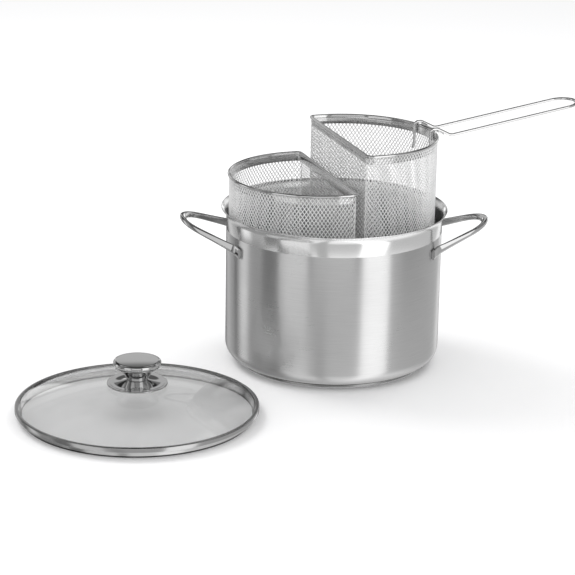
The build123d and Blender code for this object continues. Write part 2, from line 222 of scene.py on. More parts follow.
def sagging_line(
    start: Point2, end: Point2, sagitta: float, steps: int = BEND_STEPS
) -> list[Point2]:
    """Points of a shallow arc between two points.

    Args:
        start: First point.
        end: Last point.
        sagitta: Height of the arc over its chord, to the right hand of the way.
        steps: Number of edges.

    Returns:
        The points from the first to the last.
    """
    way = Vector(end) - Vector(start)
    side = Vector((way.y, -way.x)).normalized()
    made = []
    for i in range(steps + 1):
        share = i / steps
        spot = Vector(start) + way * share + side * (4 * sagitta * share * (1 - share))
        made.append((spot.x, spot.y))
    return made


def round_path(points: list[Point3], radii: list[float], steps: int) -> list[Point3]:
    """Replace the inner corners of a path by arcs.

    Args:
        points: The corners of the path, with its two ends.
        radii: Radius at each inner corner.
        steps: Edges of each arc.

    Returns:
        The path with its arcs divided into edges.
    """
    made = [Vector(points[0])]
    for before, corner, after, radius in zip(points, points[1:], points[2:], radii):
        corner = Vector(corner)
        back = (Vector(before) - corner).normalized()
        ahead = (Vector(after) - corner).normalized()
        half = back.angle(ahead) / 2
        reach = radius / math.tan(half)
        centre = corner + (back + ahead).normalized() * (radius / math.sin(half))
        first = corner + back * reach - centre
        last = corner + ahead * reach - centre
        sweep = first.angle(last)
        for i in range(steps + 1):
            share = i / steps
            weight_first = math.sin((1 - share) * sweep) / math.sin(sweep)
            weight_last = math.sin(share * sweep) / math.sin(sweep)
            made.append(centre + first * weight_first + last * weight_last)
    made.append(Vector(points[-1]))
    return [tuple(point) for point in made]


def lathe(
    name: str, profile: list[Point2], centre: Point2 = (0, 0), steps: int = LARGE_STEPS
) -> bpy.types.Object:
    """Turn a closed piece about an upright axis.

    Args:
        name: Name of the piece.
        profile: Its outline as distance from the axis and height. It begins and ends on the
            axis, or closes on itself.
        centre: Where the axis stands.
        steps: Number of facets around.

    Returns:
        The turned piece.
    """
    draw_line([(centre[0] + reach, centre[1], height) for reach, height in profile])
    bpy.ops.mesh.select_all(action="SELECT")
    bpy.ops.mesh.spin(
        steps=steps, angle=math.tau, center=(centre[0], centre[1], 0), axis=(0, 0, 1)
    )
    turn_outwards()
    return leave_edit(name)


def tube(name: str, points: list[Point3], radius: float, sides: int = 5) -> bpy.types.Object:
    """Bend a round wire along a path.

    Args:
        name: Name of the piece.
        points: The path. A last point equal to the first closes it.
        radius: Radius of the wire.
        sides: Bevel steps of a quarter of the wire's section.

    Returns:
        The wire as a closed mesh.
    """
    draw_line(points)
    bpy.ops.object.mode_set(mode="OBJECT")
    bpy.ops.object.convert(target="CURVE")
    wire = bpy.context.object
    wire.data.dimensions = "3D"
    wire.data.bevel_depth = radius
    wire.data.bevel_resolution = sides
    wire.data.use_fill_caps = True
    bpy.ops.object.convert(target="MESH")
    bpy.ops.object.mode_set(mode="EDIT")
    turn_outwards()
    return leave_edit(name)


def follow_path(piece: bpy.types.Object, path: list[Point3]) -> None:
    """Bend a piece that lies along X so that it follows a path.

    Args:
        piece: The straight piece, which begins at the origin.
        path: The points of the path.
    """
    draw_line(path)
    bpy.ops.object.mode_set(mode="OBJECT")
    bpy.ops.object.convert(target="CURVE")
    guide = bpy.context.object
    guide.data.dimensions = "3D"
    bend = piece.modifiers.new("bend", "CURVE")
    bend.object = guide
    bend.deform_axis = "POS_X"
    apply_modifiers(piece)
    bpy.data.objects.remove(guide)


def wall_strip(
    name: str, outline: list[Point2], foot: float, top: float, sheet: float, edge: float
) -> bpy.types.Object:
    """Stand a sheet of metal on edge along an outline.

    Args:
        name: Name of the piece.
        outline: Outer side of the sheet, walked with the outside on the right hand.
        foot: Height of its lower edge.
        top: Height of its upper edge.
        sheet: Thickness of the sheet, which lies inside the outline.
        edge: Width of the rounded edges.

    Returns:
        The strip as a closed mesh.
    """
    draw_line([(x, y, foot) for x, y in outline])
    bpy.ops.mesh.extrude_region_move(TRANSFORM_OT_translate={"value": (0, 0, top - foot)})
    strip = leave_edit(name)
    thick = strip.modifiers.new("sheet", "SOLIDIFY")
    thick.thickness = sheet
    thick.offset = -1
    thick.use_even_offset = True
    rounded = strip.modifiers.new("edge", "BEVEL")
    rounded.width = edge
    rounded.segments = 2
    rounded.limit_method = "ANGLE"
    apply_modifiers(strip)
    bpy.ops.object.mode_set(mode="EDIT")
    turn_outwards()
    return leave_edit(name)


def settle(
    piece: bpy.types.Object, finish: bpy.types.Material, body: str, node: str
) -> None:
    """Give a piece its finish, let it ride on its body and stand for its node of the frame.

    Args:
        piece: The modelled piece.
        finish: Its material.
        body: Body that carries it.
        node: Node that it stands for.
    """
    piece.data.materials.append(finish)
    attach(piece, body)
    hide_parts(node)
    LOG.info("%s rides on %s, %d faces", piece.name, body, len(piece.data.polygons))


class NodeBench:
    """Small helper that adds and links shader nodes of one node tree."""

    def __init__(self, tree: bpy.types.NodeTree) -> None:
        """Start from an empty tree."""
        self.tree = tree
        tree.nodes.clear()

    def add(self, kind: str, settings: dict | None = None, **inputs: object) -> bpy.types.Node:
        """Add a node.

        Args:
            kind: Type of the node.
            settings: Properties of the node.
            inputs: Values or source sockets, by input name with _ for a space, or by i and the
                input's number.

        Returns:
            The new node.
        """
        node = self.tree.nodes.new(kind)
        for key, value in (settings or {}).items():
            setattr(node, key, value)
        for key, value in inputs.items():
            numbered = key[0] == "i" and key[1:].isdigit()
            socket = node.inputs[int(key[1:])] if numbered else node.inputs[key.replace("_", " ")]
            if isinstance(value, Socket):
                self.tree.links.new(value, socket)
            else:
                socket.default_value = value
        return node

    def place(self) -> Socket:
        """Add the place on the object, in metres, and return it."""
        return self.add("ShaderNodeTexCoord").outputs["Object"]

    def noise(
        self, scale: float, detail: float, roughness: float = 0.5, place: Socket | None = None
    ) -> Socket:
        """Add a noise pattern and return its value.

        Args:
            scale: Fineness of the pattern.
            detail: Number of finer layers.
            roughness: Strength of the finer layers.
            place: Coordinates, if they aren't the place on the object.

        Returns:
            The value of the pattern.
        """
        return self.add(
            "ShaderNodeTexNoise", i0=self.place() if place is None else place,
            Scale=scale, Detail=detail, Roughness=roughness,
        ).outputs[0]

    def maths(self, operation: str, *values: object) -> Socket:
        """Add a maths node and return its result."""
        inputs = {f"i{i}": value for i, value in enumerate(values)}
        return self.add("ShaderNodeMath", {"operation": operation}, **inputs).outputs[0]

    def ease(
        self, value: Socket, low: float, high: float, start: float, end: float
    ) -> Socket:
        """Map a range to another with eased ends.

        Args:
            value: The value to map.
            low: Its lower limit.
            high: Its upper limit.
            start: Result at the lower limit.
            end: Result at the upper limit.

        Returns:
            The mapped value.
        """
        node = self.add(
            "ShaderNodeMapRange", {"interpolation_type": "SMOOTHSTEP"},
            i0=value, i1=low, i2=high, i3=start, i4=end,
        )
        return node.outputs[0]

    def blend(self, share: object, first: object, second: object) -> Socket:
        """Mix two colours by a share and return the result."""
        node = self.add("ShaderNodeMix", {"data_type": "RGBA"}, i0=share, i6=first, i7=second)
        return node.outputs[2]


def start_material(name: str) -> tuple[bpy.types.Material, NodeBench]:
    """Begin a material.

    Args:
        name: Name of the material.

    Returns:
        The material and the bench of its empty node tree.
    """
    material = bpy.data.materials.new(name)
    material.use_nodes = True
    return material, NodeBench(material.node_tree)


@dataclass(frozen=True)
class Steel:
    """Finish of stainless steel with a brushed or clouded surface."""

    name: str
    tint: Colour
    roughness: float
    grain: Grain = Grain.CLOUDED
    grain_length: float = 30 * MM
    grain_width: float = 0.35 * MM
    turn_radius: float = 100 * MM
    streaks: float = 0.06
    streak_roughness: float = 0.2
    smudge_scale: float = 28.0
    smudge_share: float = 0.08
    depth: float = 0.004 * MM
    bump: float = 0.35
    anisotropy: float = 0.0
    quarter_turn: float = 0.25
    centre: Point2 = (0.0, 0.0)
    band_height: float | None = None
    band_blend: float = 0.15 * MM
    band_roughness: float = 0.2
    band_tint: Colour = (0.88, 0.88, 0.88)
    metal: float = 1.0
    # Painted shade: heights, soft edges and colour of a dark band painted into the crease at the
    # foot.
    crease_shade: Point2 | None = None
    crease_shade_blend: Point2 = (0.3 * MM, 0.8 * MM)
    crease_shade_tint: Colour = (0.03, 0.03, 0.03)
    # Painted shade: heights and strength of a darkening of the wall's lower corner, standing in for
    # the shadowed floor that it reflects.
    shaded_foot: Point2 | None = None
    shaded_foot_share: float = 0.42
    # Painted shade: the wall's inner face is made darker between these heights, in place of the
    # shade inside the pot.
    inside_shade_radius: float | None = None
    inside_shade_tint: Colour = (0.48, 0.48, 0.48)
    inside_shade_floor: Point2 = (21 * MM, 23 * MM)
    inside_shade_mouth: Point2 = (140 * MM, 160 * MM)

    def grain_place(self, bench: NodeBench) -> Socket:
        """Coordinates that run along the brushing.

        Args:
            bench: Node tree of the material.

        Returns:
            A vector whose first part runs along the grain and whose others cross it.
        """
        shifted = bench.add(
            "ShaderNodeVectorMath", {"operation": "SUBTRACT"},
            i0=bench.place(), i1=(self.centre[0], self.centre[1], 0),
        ).outputs[0]
        parts = bench.add("ShaderNodeSeparateXYZ", i0=shifted).outputs
        along, across = 1 / self.grain_length, 1 / self.grain_width
        if self.grain is Grain.CLOUDED:
            return bench.add(
                "ShaderNodeVectorMath", {"operation": "MULTIPLY"}, i0=shifted, i1=(along,) * 3
            ).outputs[0]
        reach = bench.add(
            "ShaderNodeVectorMath", {"operation": "LENGTH"},
            i0=bench.add("ShaderNodeCombineXYZ", i0=parts[0], i1=parts[1]).outputs[0],
        ).outputs["Value"]
        angle = bench.maths("ARCTAN2", parts[1], parts[0])
        return bench.add(
            "ShaderNodeCombineXYZ",
            i0=bench.maths("MULTIPLY", angle, self.turn_radius * along),
            i1=bench.maths("MULTIPLY", reach, across),
            i2=bench.maths("MULTIPLY", parts[2], across),
        ).outputs[0]

    def polish_band(
        self, bench: NodeBench, height: Socket, colour: Socket, rough: Socket
    ) -> tuple[Socket, Socket]:
        """Polish the wall above the height where its band begins.

        Args:
            bench: Node tree of the material.
            height: Height on the object.
            colour: Colour of the brushed steel.
            rough: Roughness of the brushed steel.

        Returns:
            The colour and the roughness with the band.
        """
        start = self.band_height - self.band_blend
        polished = bench.ease(height, start, self.band_height + self.band_blend, 0.0, 1.0)
        brushed = bench.maths("MULTIPLY", rough, bench.maths("SUBTRACT", 1.0, polished))
        band = bench.maths("MULTIPLY", polished, self.band_roughness)
        colour = bench.blend(polished, colour, self.band_tint + (1.0,))
        return colour, bench.maths("ADD", brushed, band)

    def paint_crease_shade(self, bench: NodeBench, height: Socket, colour: Socket) -> Socket:
        """Paint shade into the crease at the foot and, if asked, paint the wall's lower corner
        darker as painted shade.

        Args:
            bench: Node tree of the material.
            height: Height on the object.
            colour: Colour of the steel.

        Returns:
            The colour with the painted shade.
        """
        low, high = self.crease_shade
        below, above = self.crease_shade_blend
        over = bench.ease(height, low - below, low, 0.0, 1.0)
        under = bench.ease(height, high, high + above, 1.0, 0.0)
        share = bench.maths("MULTIPLY", over, under)
        # Painted shade: the lower corner gets darker towards the foot, in place of the dark floor
        # it reflects.
        if self.shaded_foot is not None:
            foot_shade = bench.ease(height, *self.shaded_foot, self.shaded_foot_share, 0.0)
            share = bench.maths("MAXIMUM", share, foot_shade)
        return bench.blend(share, colour, self.crease_shade_tint + (1.0,))

    def paint_inside_shade(
        self, bench: NodeBench, place: bpy.types.NodeOutputs, colour: Socket
    ) -> Socket:
        """Paint shade on the wall's inner face between the floor and the mouth, darker than the
        outer face.

        Args:
            bench: Node tree of the material.
            place: The three parts of the place on the object.
            colour: Colour of the outer face.

        Returns:
            The colour of both faces, with the painted shade on the inner one.
        """
        squares = [bench.maths("POWER", part, 2.0) for part in (place[0], place[1])]
        reach = bench.maths("SQRT", bench.maths("ADD", *squares))
        inner = bench.maths("LESS_THAN", reach, self.inside_shade_radius)
        over = bench.ease(place[2], *self.inside_shade_floor, 0.0, 1.0)
        under = bench.ease(place[2], *self.inside_shade_mouth, 1.0, 0.0)
        inside_shade_share = bench.maths("MULTIPLY", inner, bench.maths("MULTIPLY", over, under))
        return bench.blend(inside_shade_share, colour, self.inside_shade_tint + (1.0,))

    def make(self) -> bpy.types.Material:
        """Build the material.

        Returns:
            The finished material.
        """
        material, bench = start_material(self.name)
        grain = bench.noise(1.0, 5.0, 0.6, self.grain_place(bench))
        smudge = bench.noise(self.smudge_scale, 3.0, 0.5)
        dark = tuple(c * (1 - self.streaks) for c in self.tint) + (1.0,)
        light = tuple(min(1.0, c * (1 + self.streaks)) for c in self.tint) + (1.0,)
        colour = bench.blend(bench.ease(grain, *MID_NOISE, 0.0, 1.0), dark, light)
        spread = self.roughness * self.smudge_share
        change = self.streaks * self.streak_roughness
        rough = bench.maths(
            "ADD",
            bench.ease(smudge, *MID_NOISE, self.roughness - spread, self.roughness + spread),
            bench.ease(grain, *WIDE_NOISE, -change, change),
        )
        place = bench.add("ShaderNodeSeparateXYZ", i0=bench.place()).outputs
        if self.band_height is not None:
            colour, rough = self.polish_band(bench, place[2], colour, rough)
        # Painted shade in the crease at the foot and on the wall's lower corner.
        if self.crease_shade is not None:
            colour = self.paint_crease_shade(bench, place[2], colour)
        # Painted shade on the inner face of the wall.
        if self.inside_shade_radius is not None:
            colour = self.paint_inside_shade(bench, place, colour)
        bump = bench.add(
            "ShaderNodeBump", Strength=self.bump, Distance=self.depth, Height=grain
        ).outputs[0]
        shader = bench.add(
            "ShaderNodeBsdfPrincipled",
            Base_Color=colour, Metallic=self.metal, Roughness=rough, Normal=bump,
            Anisotropic=self.anisotropy,
        )
        if self.anisotropy:
            shader.inputs["Anisotropic Rotation"].default_value = self.quarter_turn
            tangent = bench.add("ShaderNodeTangent", {"direction_type": "RADIAL", "axis": "Z"})
            bench.tree.links.new(tangent.outputs[0], shader.inputs["Tangent"])
        bench.add("ShaderNodeOutputMaterial", Surface=shader.outputs[0])
        return material


@dataclass(frozen=True)
class ClearGlass:
    """Finish of the lid's pane: clear glass with a faint grey tint and fine wipe marks."""

    name: str = "lid_glass_clear"
    tint: Colour = (0.968, 0.97, 0.968)
    ior: float = 1.42
    roughness: float = 0.01
    mark_scale: float = 45.0
    mark_range: Point2 = (0.45, 0.8)
    mark_roughness: float = 0.04
    mark_share: float = 0.97
    tint_range: Point2 = (0.4, 0.75)

    def make(self) -> bpy.types.Material:
        """Build the material.

        Returns:
            The finished material.
        """
        material, bench = start_material(self.name)
        marks = bench.noise(self.mark_scale, 4.0, 0.6)
        rough = bench.ease(marks, *self.mark_range, self.roughness, self.mark_roughness)
        light = self.tint + (1.0,)
        dark = tuple(c * self.mark_share for c in self.tint) + (1.0,)
        colour = bench.blend(bench.ease(marks, *self.tint_range, 0.0, 1.0), light, dark)
        shader = bench.add(
            "ShaderNodeBsdfPrincipled",
            Base_Color=colour, Roughness=rough, IOR=self.ior, Transmission_Weight=1.0,
        )
        bench.add("ShaderNodeOutputMaterial", Surface=shader.outputs[0])
        return material


@dataclass(frozen=True)
class Silicone:
    """Finish of the milky rubber pads of the knob."""

    name: str
    tint: Colour = (0.72, 0.72, 0.7)
    roughness: Point2 = (0.4, 0.53)
    cloud_scale: float = 160.0
    cloud_share: float = 0.9
    depth_weight: float = 0.2
    depth: float = 2 * MM

    def make(self) -> bpy.types.Material:
        """Build the material.

        Returns:
            The finished material.
        """
        material, bench = start_material(self.name)
        cloud = bench.noise(self.cloud_scale, 3.0)
        dark = tuple(c * self.cloud_share for c in self.tint) + (1.0,)
        colour = bench.blend(bench.ease(cloud, *MID_NOISE, 0.0, 1.0), dark, self.tint + (1.0,))
        rough = bench.ease(cloud, *MID_NOISE, *self.roughness)
        shader = bench.add(
            "ShaderNodeBsdfPrincipled",
            Base_Color=colour, Roughness=rough, Subsurface_Weight=self.depth_weight,
            Subsurface_Scale=self.depth,
        )
        bench.add("ShaderNodeOutputMaterial", Surface=shader.outputs[0])
        return material


@dataclass(frozen=True)
class Panel:
    """A light or dark card of the studio, as polished metal sees it.

    Its heading turns from the photograph's side, -Y, towards the right, in degrees. Its height
    is given as the elevations of its two edges.
    """

    heading: float
    width: float
    low: float
    high: float
    brightness: float
    soft: float = 2.0


@dataclass
class Studio:
    """Camera, floor, lamps and the surroundings that the metal reflects."""

    camera_place: Point3 = (-0.1367, -2.3707, 0.8386)
    camera_heading: float = 2.08
    camera_pitch: float = 17.70
    camera_roll: float = 0.997
    lens: float = 138.81
    sensor: float = 36.0
    far_clip: float = 100.0
    floor_radius: float = 14.0
    floor_facets: int = 64
    floor_drop: float = 0.05 * MM
    floor_tint: Colour = (0.88, 0.88, 0.885)
    floor_lift: float = 0.12
    fill_strength: float = 0.86
    low_sky: tuple[float, ...] = (-50.0, -25.0, 1.0, 0.54)
    high_sky: tuple[float, ...] = (38.0, 52.0, 0.0, -0.46)
    lamp_size: float = 0.9
    lamp_aim: Point3 = (0.05, 0.0, 0.05)
    lamps: tuple[tuple[str, Point3, float], ...] = (
        ("soft_lamp", (-1.1, 0.75, 1.5), 12.0),
        ("weak_lamp", (0.9, 0.9, 1.4), 5.0),
    )
    panels: tuple[Panel, ...] = (
        Panel(180.0, 60.0, -30.0, 24.0, 0.12, 3.0),
        Panel(180.0, 50.0, 15.0, 21.5, 0.62, 1.5),
        Panel(166.0, 6.0, 0.0, 13.0, 1.3, 1.5),
        Panel(-166.0, 6.0, 0.0, 13.0, 1.3, 1.5),
        Panel(150.0, 14.0, 46.0, 68.0, 1.2, 3.0),
        Panel(-132.0, 14.0, 46.0, 68.0, 1.1, 3.0),
        Panel(0.0, 60.0, 10.0, 42.0, 0.9, 4.0),
        Panel(28.0, 14.0, 6.0, 30.0, 0.08, 3.0),
        Panel(-32.0, 16.0, 6.0, 30.0, 0.06, 3.0),
        Panel(43.0, 31.0, -89.0, 46.0, 1.42),
        Panel(-45.0, 32.0, -89.0, 40.0, 0.87),
        Panel(-16.0, 12.0, -89.0, 4.0, 0.44, 4.0),
        Panel(-72.5, 21.0, -60.0, 42.0, 0.22, 2.5),
        Panel(-94.0, 18.0, -60.0, 40.0, 0.42, 3.0),
        Panel(-111.0, 14.0, -80.0, 40.0, 0.95, 4.0),
        Panel(-131.0, 24.0, -60.0, 30.0, 0.42, 6.0),
        Panel(-127.0, 5.0, -70.0, 30.0, 0.02, 1.5),
        Panel(-152.0, 16.0, -80.0, 20.0, 0.6, 5.0),
        Panel(-112.0, 40.0, -89.0, -25.0, 0.3, 3.0),
        Panel(152.0, 16.0, -80.0, 20.0, 0.95, 5.0),
        Panel(98.0, 50.0, 2.0, 35.0, 0.32, 5.0),
        Panel(180.0, 170.0, 25.0, 42.0, 0.03, 3.0),
    )

    def build(self) -> None:
        """Make the camera, the floor, the lamps and the surroundings."""
        self.add_camera()
        self.add_floor()
        self.add_lamps()
        self.add_surroundings()
        bpy.context.scene.view_settings.view_transform = "Standard"

    def add_camera(self) -> None:
        """Stand the camera where the photograph was taken from."""
        lens = bpy.data.cameras.new("camera")
        lens.lens = self.lens
        lens.sensor_width = self.sensor
        lens.clip_end = self.far_clip
        camera = bpy.data.objects.new("camera", lens)
        bpy.context.scene.collection.objects.link(camera)
        camera.matrix_world = (
            Matrix.Translation(self.camera_place)
            @ Matrix.Rotation(math.radians(-self.camera_heading), 4, "Z")
            @ Matrix.Rotation(math.radians(90 - self.camera_pitch), 4, "X")
            @ Matrix.Rotation(math.radians(self.camera_roll), 4, "Z")
        )
        bpy.context.scene.camera = camera

    def add_floor(self) -> None:
        """Lay a plain pale floor that keeps the shadows of the object."""
        deselect_all()
        bpy.ops.mesh.primitive_circle_add(
            vertices=self.floor_facets, radius=self.floor_radius, fill_type="NGON",
            location=(0, 0, -self.floor_drop),
        )
        floor = bpy.context.object
        floor.name = "studio_floor"
        material, bench = start_material("studio_floor_paint")
        rays = bench.add("ShaderNodeLightPath").outputs
        paint = bench.add("ShaderNodeBsdfDiffuse", Color=self.floor_tint + (1.0,))
        lift = bench.add("ShaderNodeEmission", Color=WHITE, Strength=self.floor_lift)
        seen = bench.add("ShaderNodeAddShader", i0=paint.outputs[0], i1=lift.outputs[0])
        looked_at = bench.maths("MAXIMUM", rays["Is Camera Ray"], rays["Is Transmission Ray"])
        mirrored = bench.maths("SUBTRACT", rays["Is Glossy Ray"], rays["Is Transmission Ray"])
        both = bench.add(
            "ShaderNodeMixShader", i0=looked_at, i1=paint.outputs[0], i2=seen.outputs[0]
        )
        clear = bench.add("ShaderNodeBsdfTransparent")
        final = bench.add(
            "ShaderNodeMixShader", i0=mirrored, i1=both.outputs[0], i2=clear.outputs[0]
        )
        bench.add("ShaderNodeOutputMaterial", Surface=final.outputs[0])
        floor.data.materials.append(material)

    def add_lamps(self) -> None:
        """Hang large soft lamps over the left and, weaker, over the right, behind the object."""
        for name, place, watts in self.lamps:
            lamp = bpy.data.lights.new(name, "AREA")
            lamp.shape = "DISK"
            lamp.size = self.lamp_size
            lamp.energy = watts
            holder = bpy.data.objects.new(name, lamp)
            bpy.context.scene.collection.objects.link(holder)
            holder.location = place
            way = Vector(self.lamp_aim) - Vector(place)
            holder.rotation_euler = way.to_track_quat("-Z", "Y").to_euler()
            holder.visible_glossy = False
            holder.visible_transmission = False
            holder.visible_camera = False

    def add_surroundings(self) -> None:
        """Give polished metal a studio of light and dark cards, and all else an even light."""
        world = bpy.data.worlds.new("studio")
        bpy.context.scene.world = world
        world.use_nodes = True
        world.cycles.sampling_method = "NONE"
        bench = NodeBench(world.node_tree)
        way = bench.add("ShaderNodeTexCoord").outputs["Generated"]
        parts = bench.add("ShaderNodeSeparateXYZ", i0=way).outputs
        level_way = bench.add(
            "ShaderNodeVectorMath", {"operation": "NORMALIZE"},
            i0=bench.add("ShaderNodeCombineXYZ", i0=parts[0], i1=parts[1]).outputs[0],
        ).outputs[0]
        rise = bench.maths("MULTIPLY", bench.maths("ARCSINE", parts[2]), 180 / math.pi)
        low, high = bench.ease(rise, *self.low_sky), bench.ease(rise, *self.high_sky)
        level = bench.maths("ADD", low, high)
        for panel in self.panels:
            heading = math.radians(panel.heading)
            middle = (math.sin(heading), -math.cos(heading), 0.0)
            facing = bench.add(
                "ShaderNodeVectorMath", {"operation": "DOT_PRODUCT"}, i0=level_way, i1=middle
            ).outputs["Value"]
            soft = panel.soft
            outer = math.cos(math.radians(panel.width / 2 + soft / 2))
            inner = math.cos(math.radians(panel.width / 2 - soft / 2))
            across = bench.ease(facing, outer, inner, 0.0, 1.0)
            above = bench.ease(rise, panel.low - soft, panel.low + soft, 0.0, 1.0)
            below = bench.ease(rise, panel.high - soft, panel.high + soft, 1.0, 0.0)
            cover = bench.maths("MULTIPLY", across, bench.maths("MULTIPLY", above, below))
            change = bench.maths("SUBTRACT", panel.brightness, level)
            level = bench.maths("ADD", level, bench.maths("MULTIPLY", change, cover))
        rays = bench.add("ShaderNodeLightPath").outputs
        reflected = bench.add("ShaderNodeBackground", Strength=level)
        even = bench.add("ShaderNodeBackground", Strength=self.fill_strength)
        white = bench.add("ShaderNodeBackground", Strength=1.0)
        for node in (reflected, even, white):
            node.inputs["Color"].default_value = WHITE
        lit = bench.add(
            "ShaderNodeMixShader", i0=rays["Is Glossy Ray"], i1=even.outputs[0],
            i2=reflected.outputs[0],
        )
        looked_at = bench.maths("MAXIMUM", rays["Is Camera Ray"], rays["Is Transmission Ray"])
        final = bench.add(
            "ShaderNodeMixShader", i0=looked_at, i1=lit.outputs[0], i2=white.outputs[0]
        )
        bench.add("ShaderNodeOutputWorld", Surface=final.outputs[0])


@dataclass
class PotBody:
    """The pot: drawn shell with a pouring lip, and its capped heat base."""

    outer_radius: float = 120 * MM
    wall: float = 0.8 * MM
    height: float = 176.5 * MM
    corner_radius: float = 16 * MM
    flare_radius: float = 10 * MM
    lip_turn: float = 65.0
    base_height: float = 4.8 * MM
    base_edge: float = 1.2 * MM
    base_chamfer: Point2 = (0.4 * MM, 0.3 * MM)
    groove_height: float = 153 * MM
    groove_depth: float = 0.12 * MM
    groove_width: float = 0.5 * MM
    # Heights of the dark band painted into the crease between shell and cap, as painted shade.
    crease_shade: Point2 = (3.2 * MM, 5.9 * MM)
    # Heights over which the shell's lower corner is painted darker, as painted shade for the
    # shadowed floor it reflects.
    shaded_foot: Point2 = (7 * MM, 17 * MM)
    body: str = "pot"

    def shell_profile(self) -> list[Point2]:
        """Outline of the shell from the middle of its underside, over the lip, and back inside.

        Returns:
            Points as distance from the axis and height.
        """
        foot_reach = self.outer_radius - self.corner_radius
        corner = (foot_reach, self.base_height + self.corner_radius)
        lip_sine = math.sin(math.radians(self.lip_turn))
        flare_start = self.height - (self.flare_radius + self.wall) * lip_sine
        flare = (self.outer_radius + self.flare_radius, flare_start)
        groove_bottom = self.groove_height - self.groove_width / 2
        outside = arc(corner, self.corner_radius, -90, 0, CORNER_STEPS)
        groove = [
            (self.outer_radius, groove_bottom),
            (self.outer_radius - self.groove_depth, self.groove_height),
            (self.outer_radius, self.groove_height + self.groove_width / 2),
        ]
        edge_turn = math.degrees(self.wall / 2 / (self.flare_radius + self.wall / 2))
        end = 180 - self.lip_turn + edge_turn
        flare_out = arc(flare, self.flare_radius, 180, end, BEND_STEPS)
        flare_in = arc(flare, self.flare_radius + self.wall, 180, end, BEND_STEPS)
        lip_middle = (Vector(flare_out[-1]) + Vector(flare_in[-1])) / 2
        lip_edge = arc(tuple(lip_middle), self.wall / 2, end - 180, end, BEAD_STEPS)
        inside = arc(corner, self.corner_radius - self.wall, 0, -90, CORNER_STEPS)
        profile = [(0.0, self.base_height)] + outside + groove + flare_out[:-1] + lip_edge
        return profile + flare_in[-2::-1] + inside + [(0.0, self.base_height + self.wall)]

    def build(self, steel: bpy.types.Material, base_steel: bpy.types.Material) -> None:
        """Make the shell and the base cap.

        Args:
            steel: Finish of the shell.
            base_steel: Finish of the base cap.
        """
        shell = lathe("pot_shell_wall", self.shell_profile())
        settle(shell, steel, self.body, "pot_shell")
        reach = self.outer_radius - self.corner_radius
        edge = self.base_edge
        foot_edge = arc((reach - edge, edge), edge, -90, 0, EDGE_STEPS)
        across, down = self.base_chamfer
        top_edge = [(reach, self.base_height - down), (reach - across, self.base_height)]
        profile = [(0.0, 0.0)] + foot_edge + top_edge + [(0.0, self.base_height)]
        cap = lathe("pot_base_cap", profile)
        settle(cap, base_steel, self.body, "base_cap")


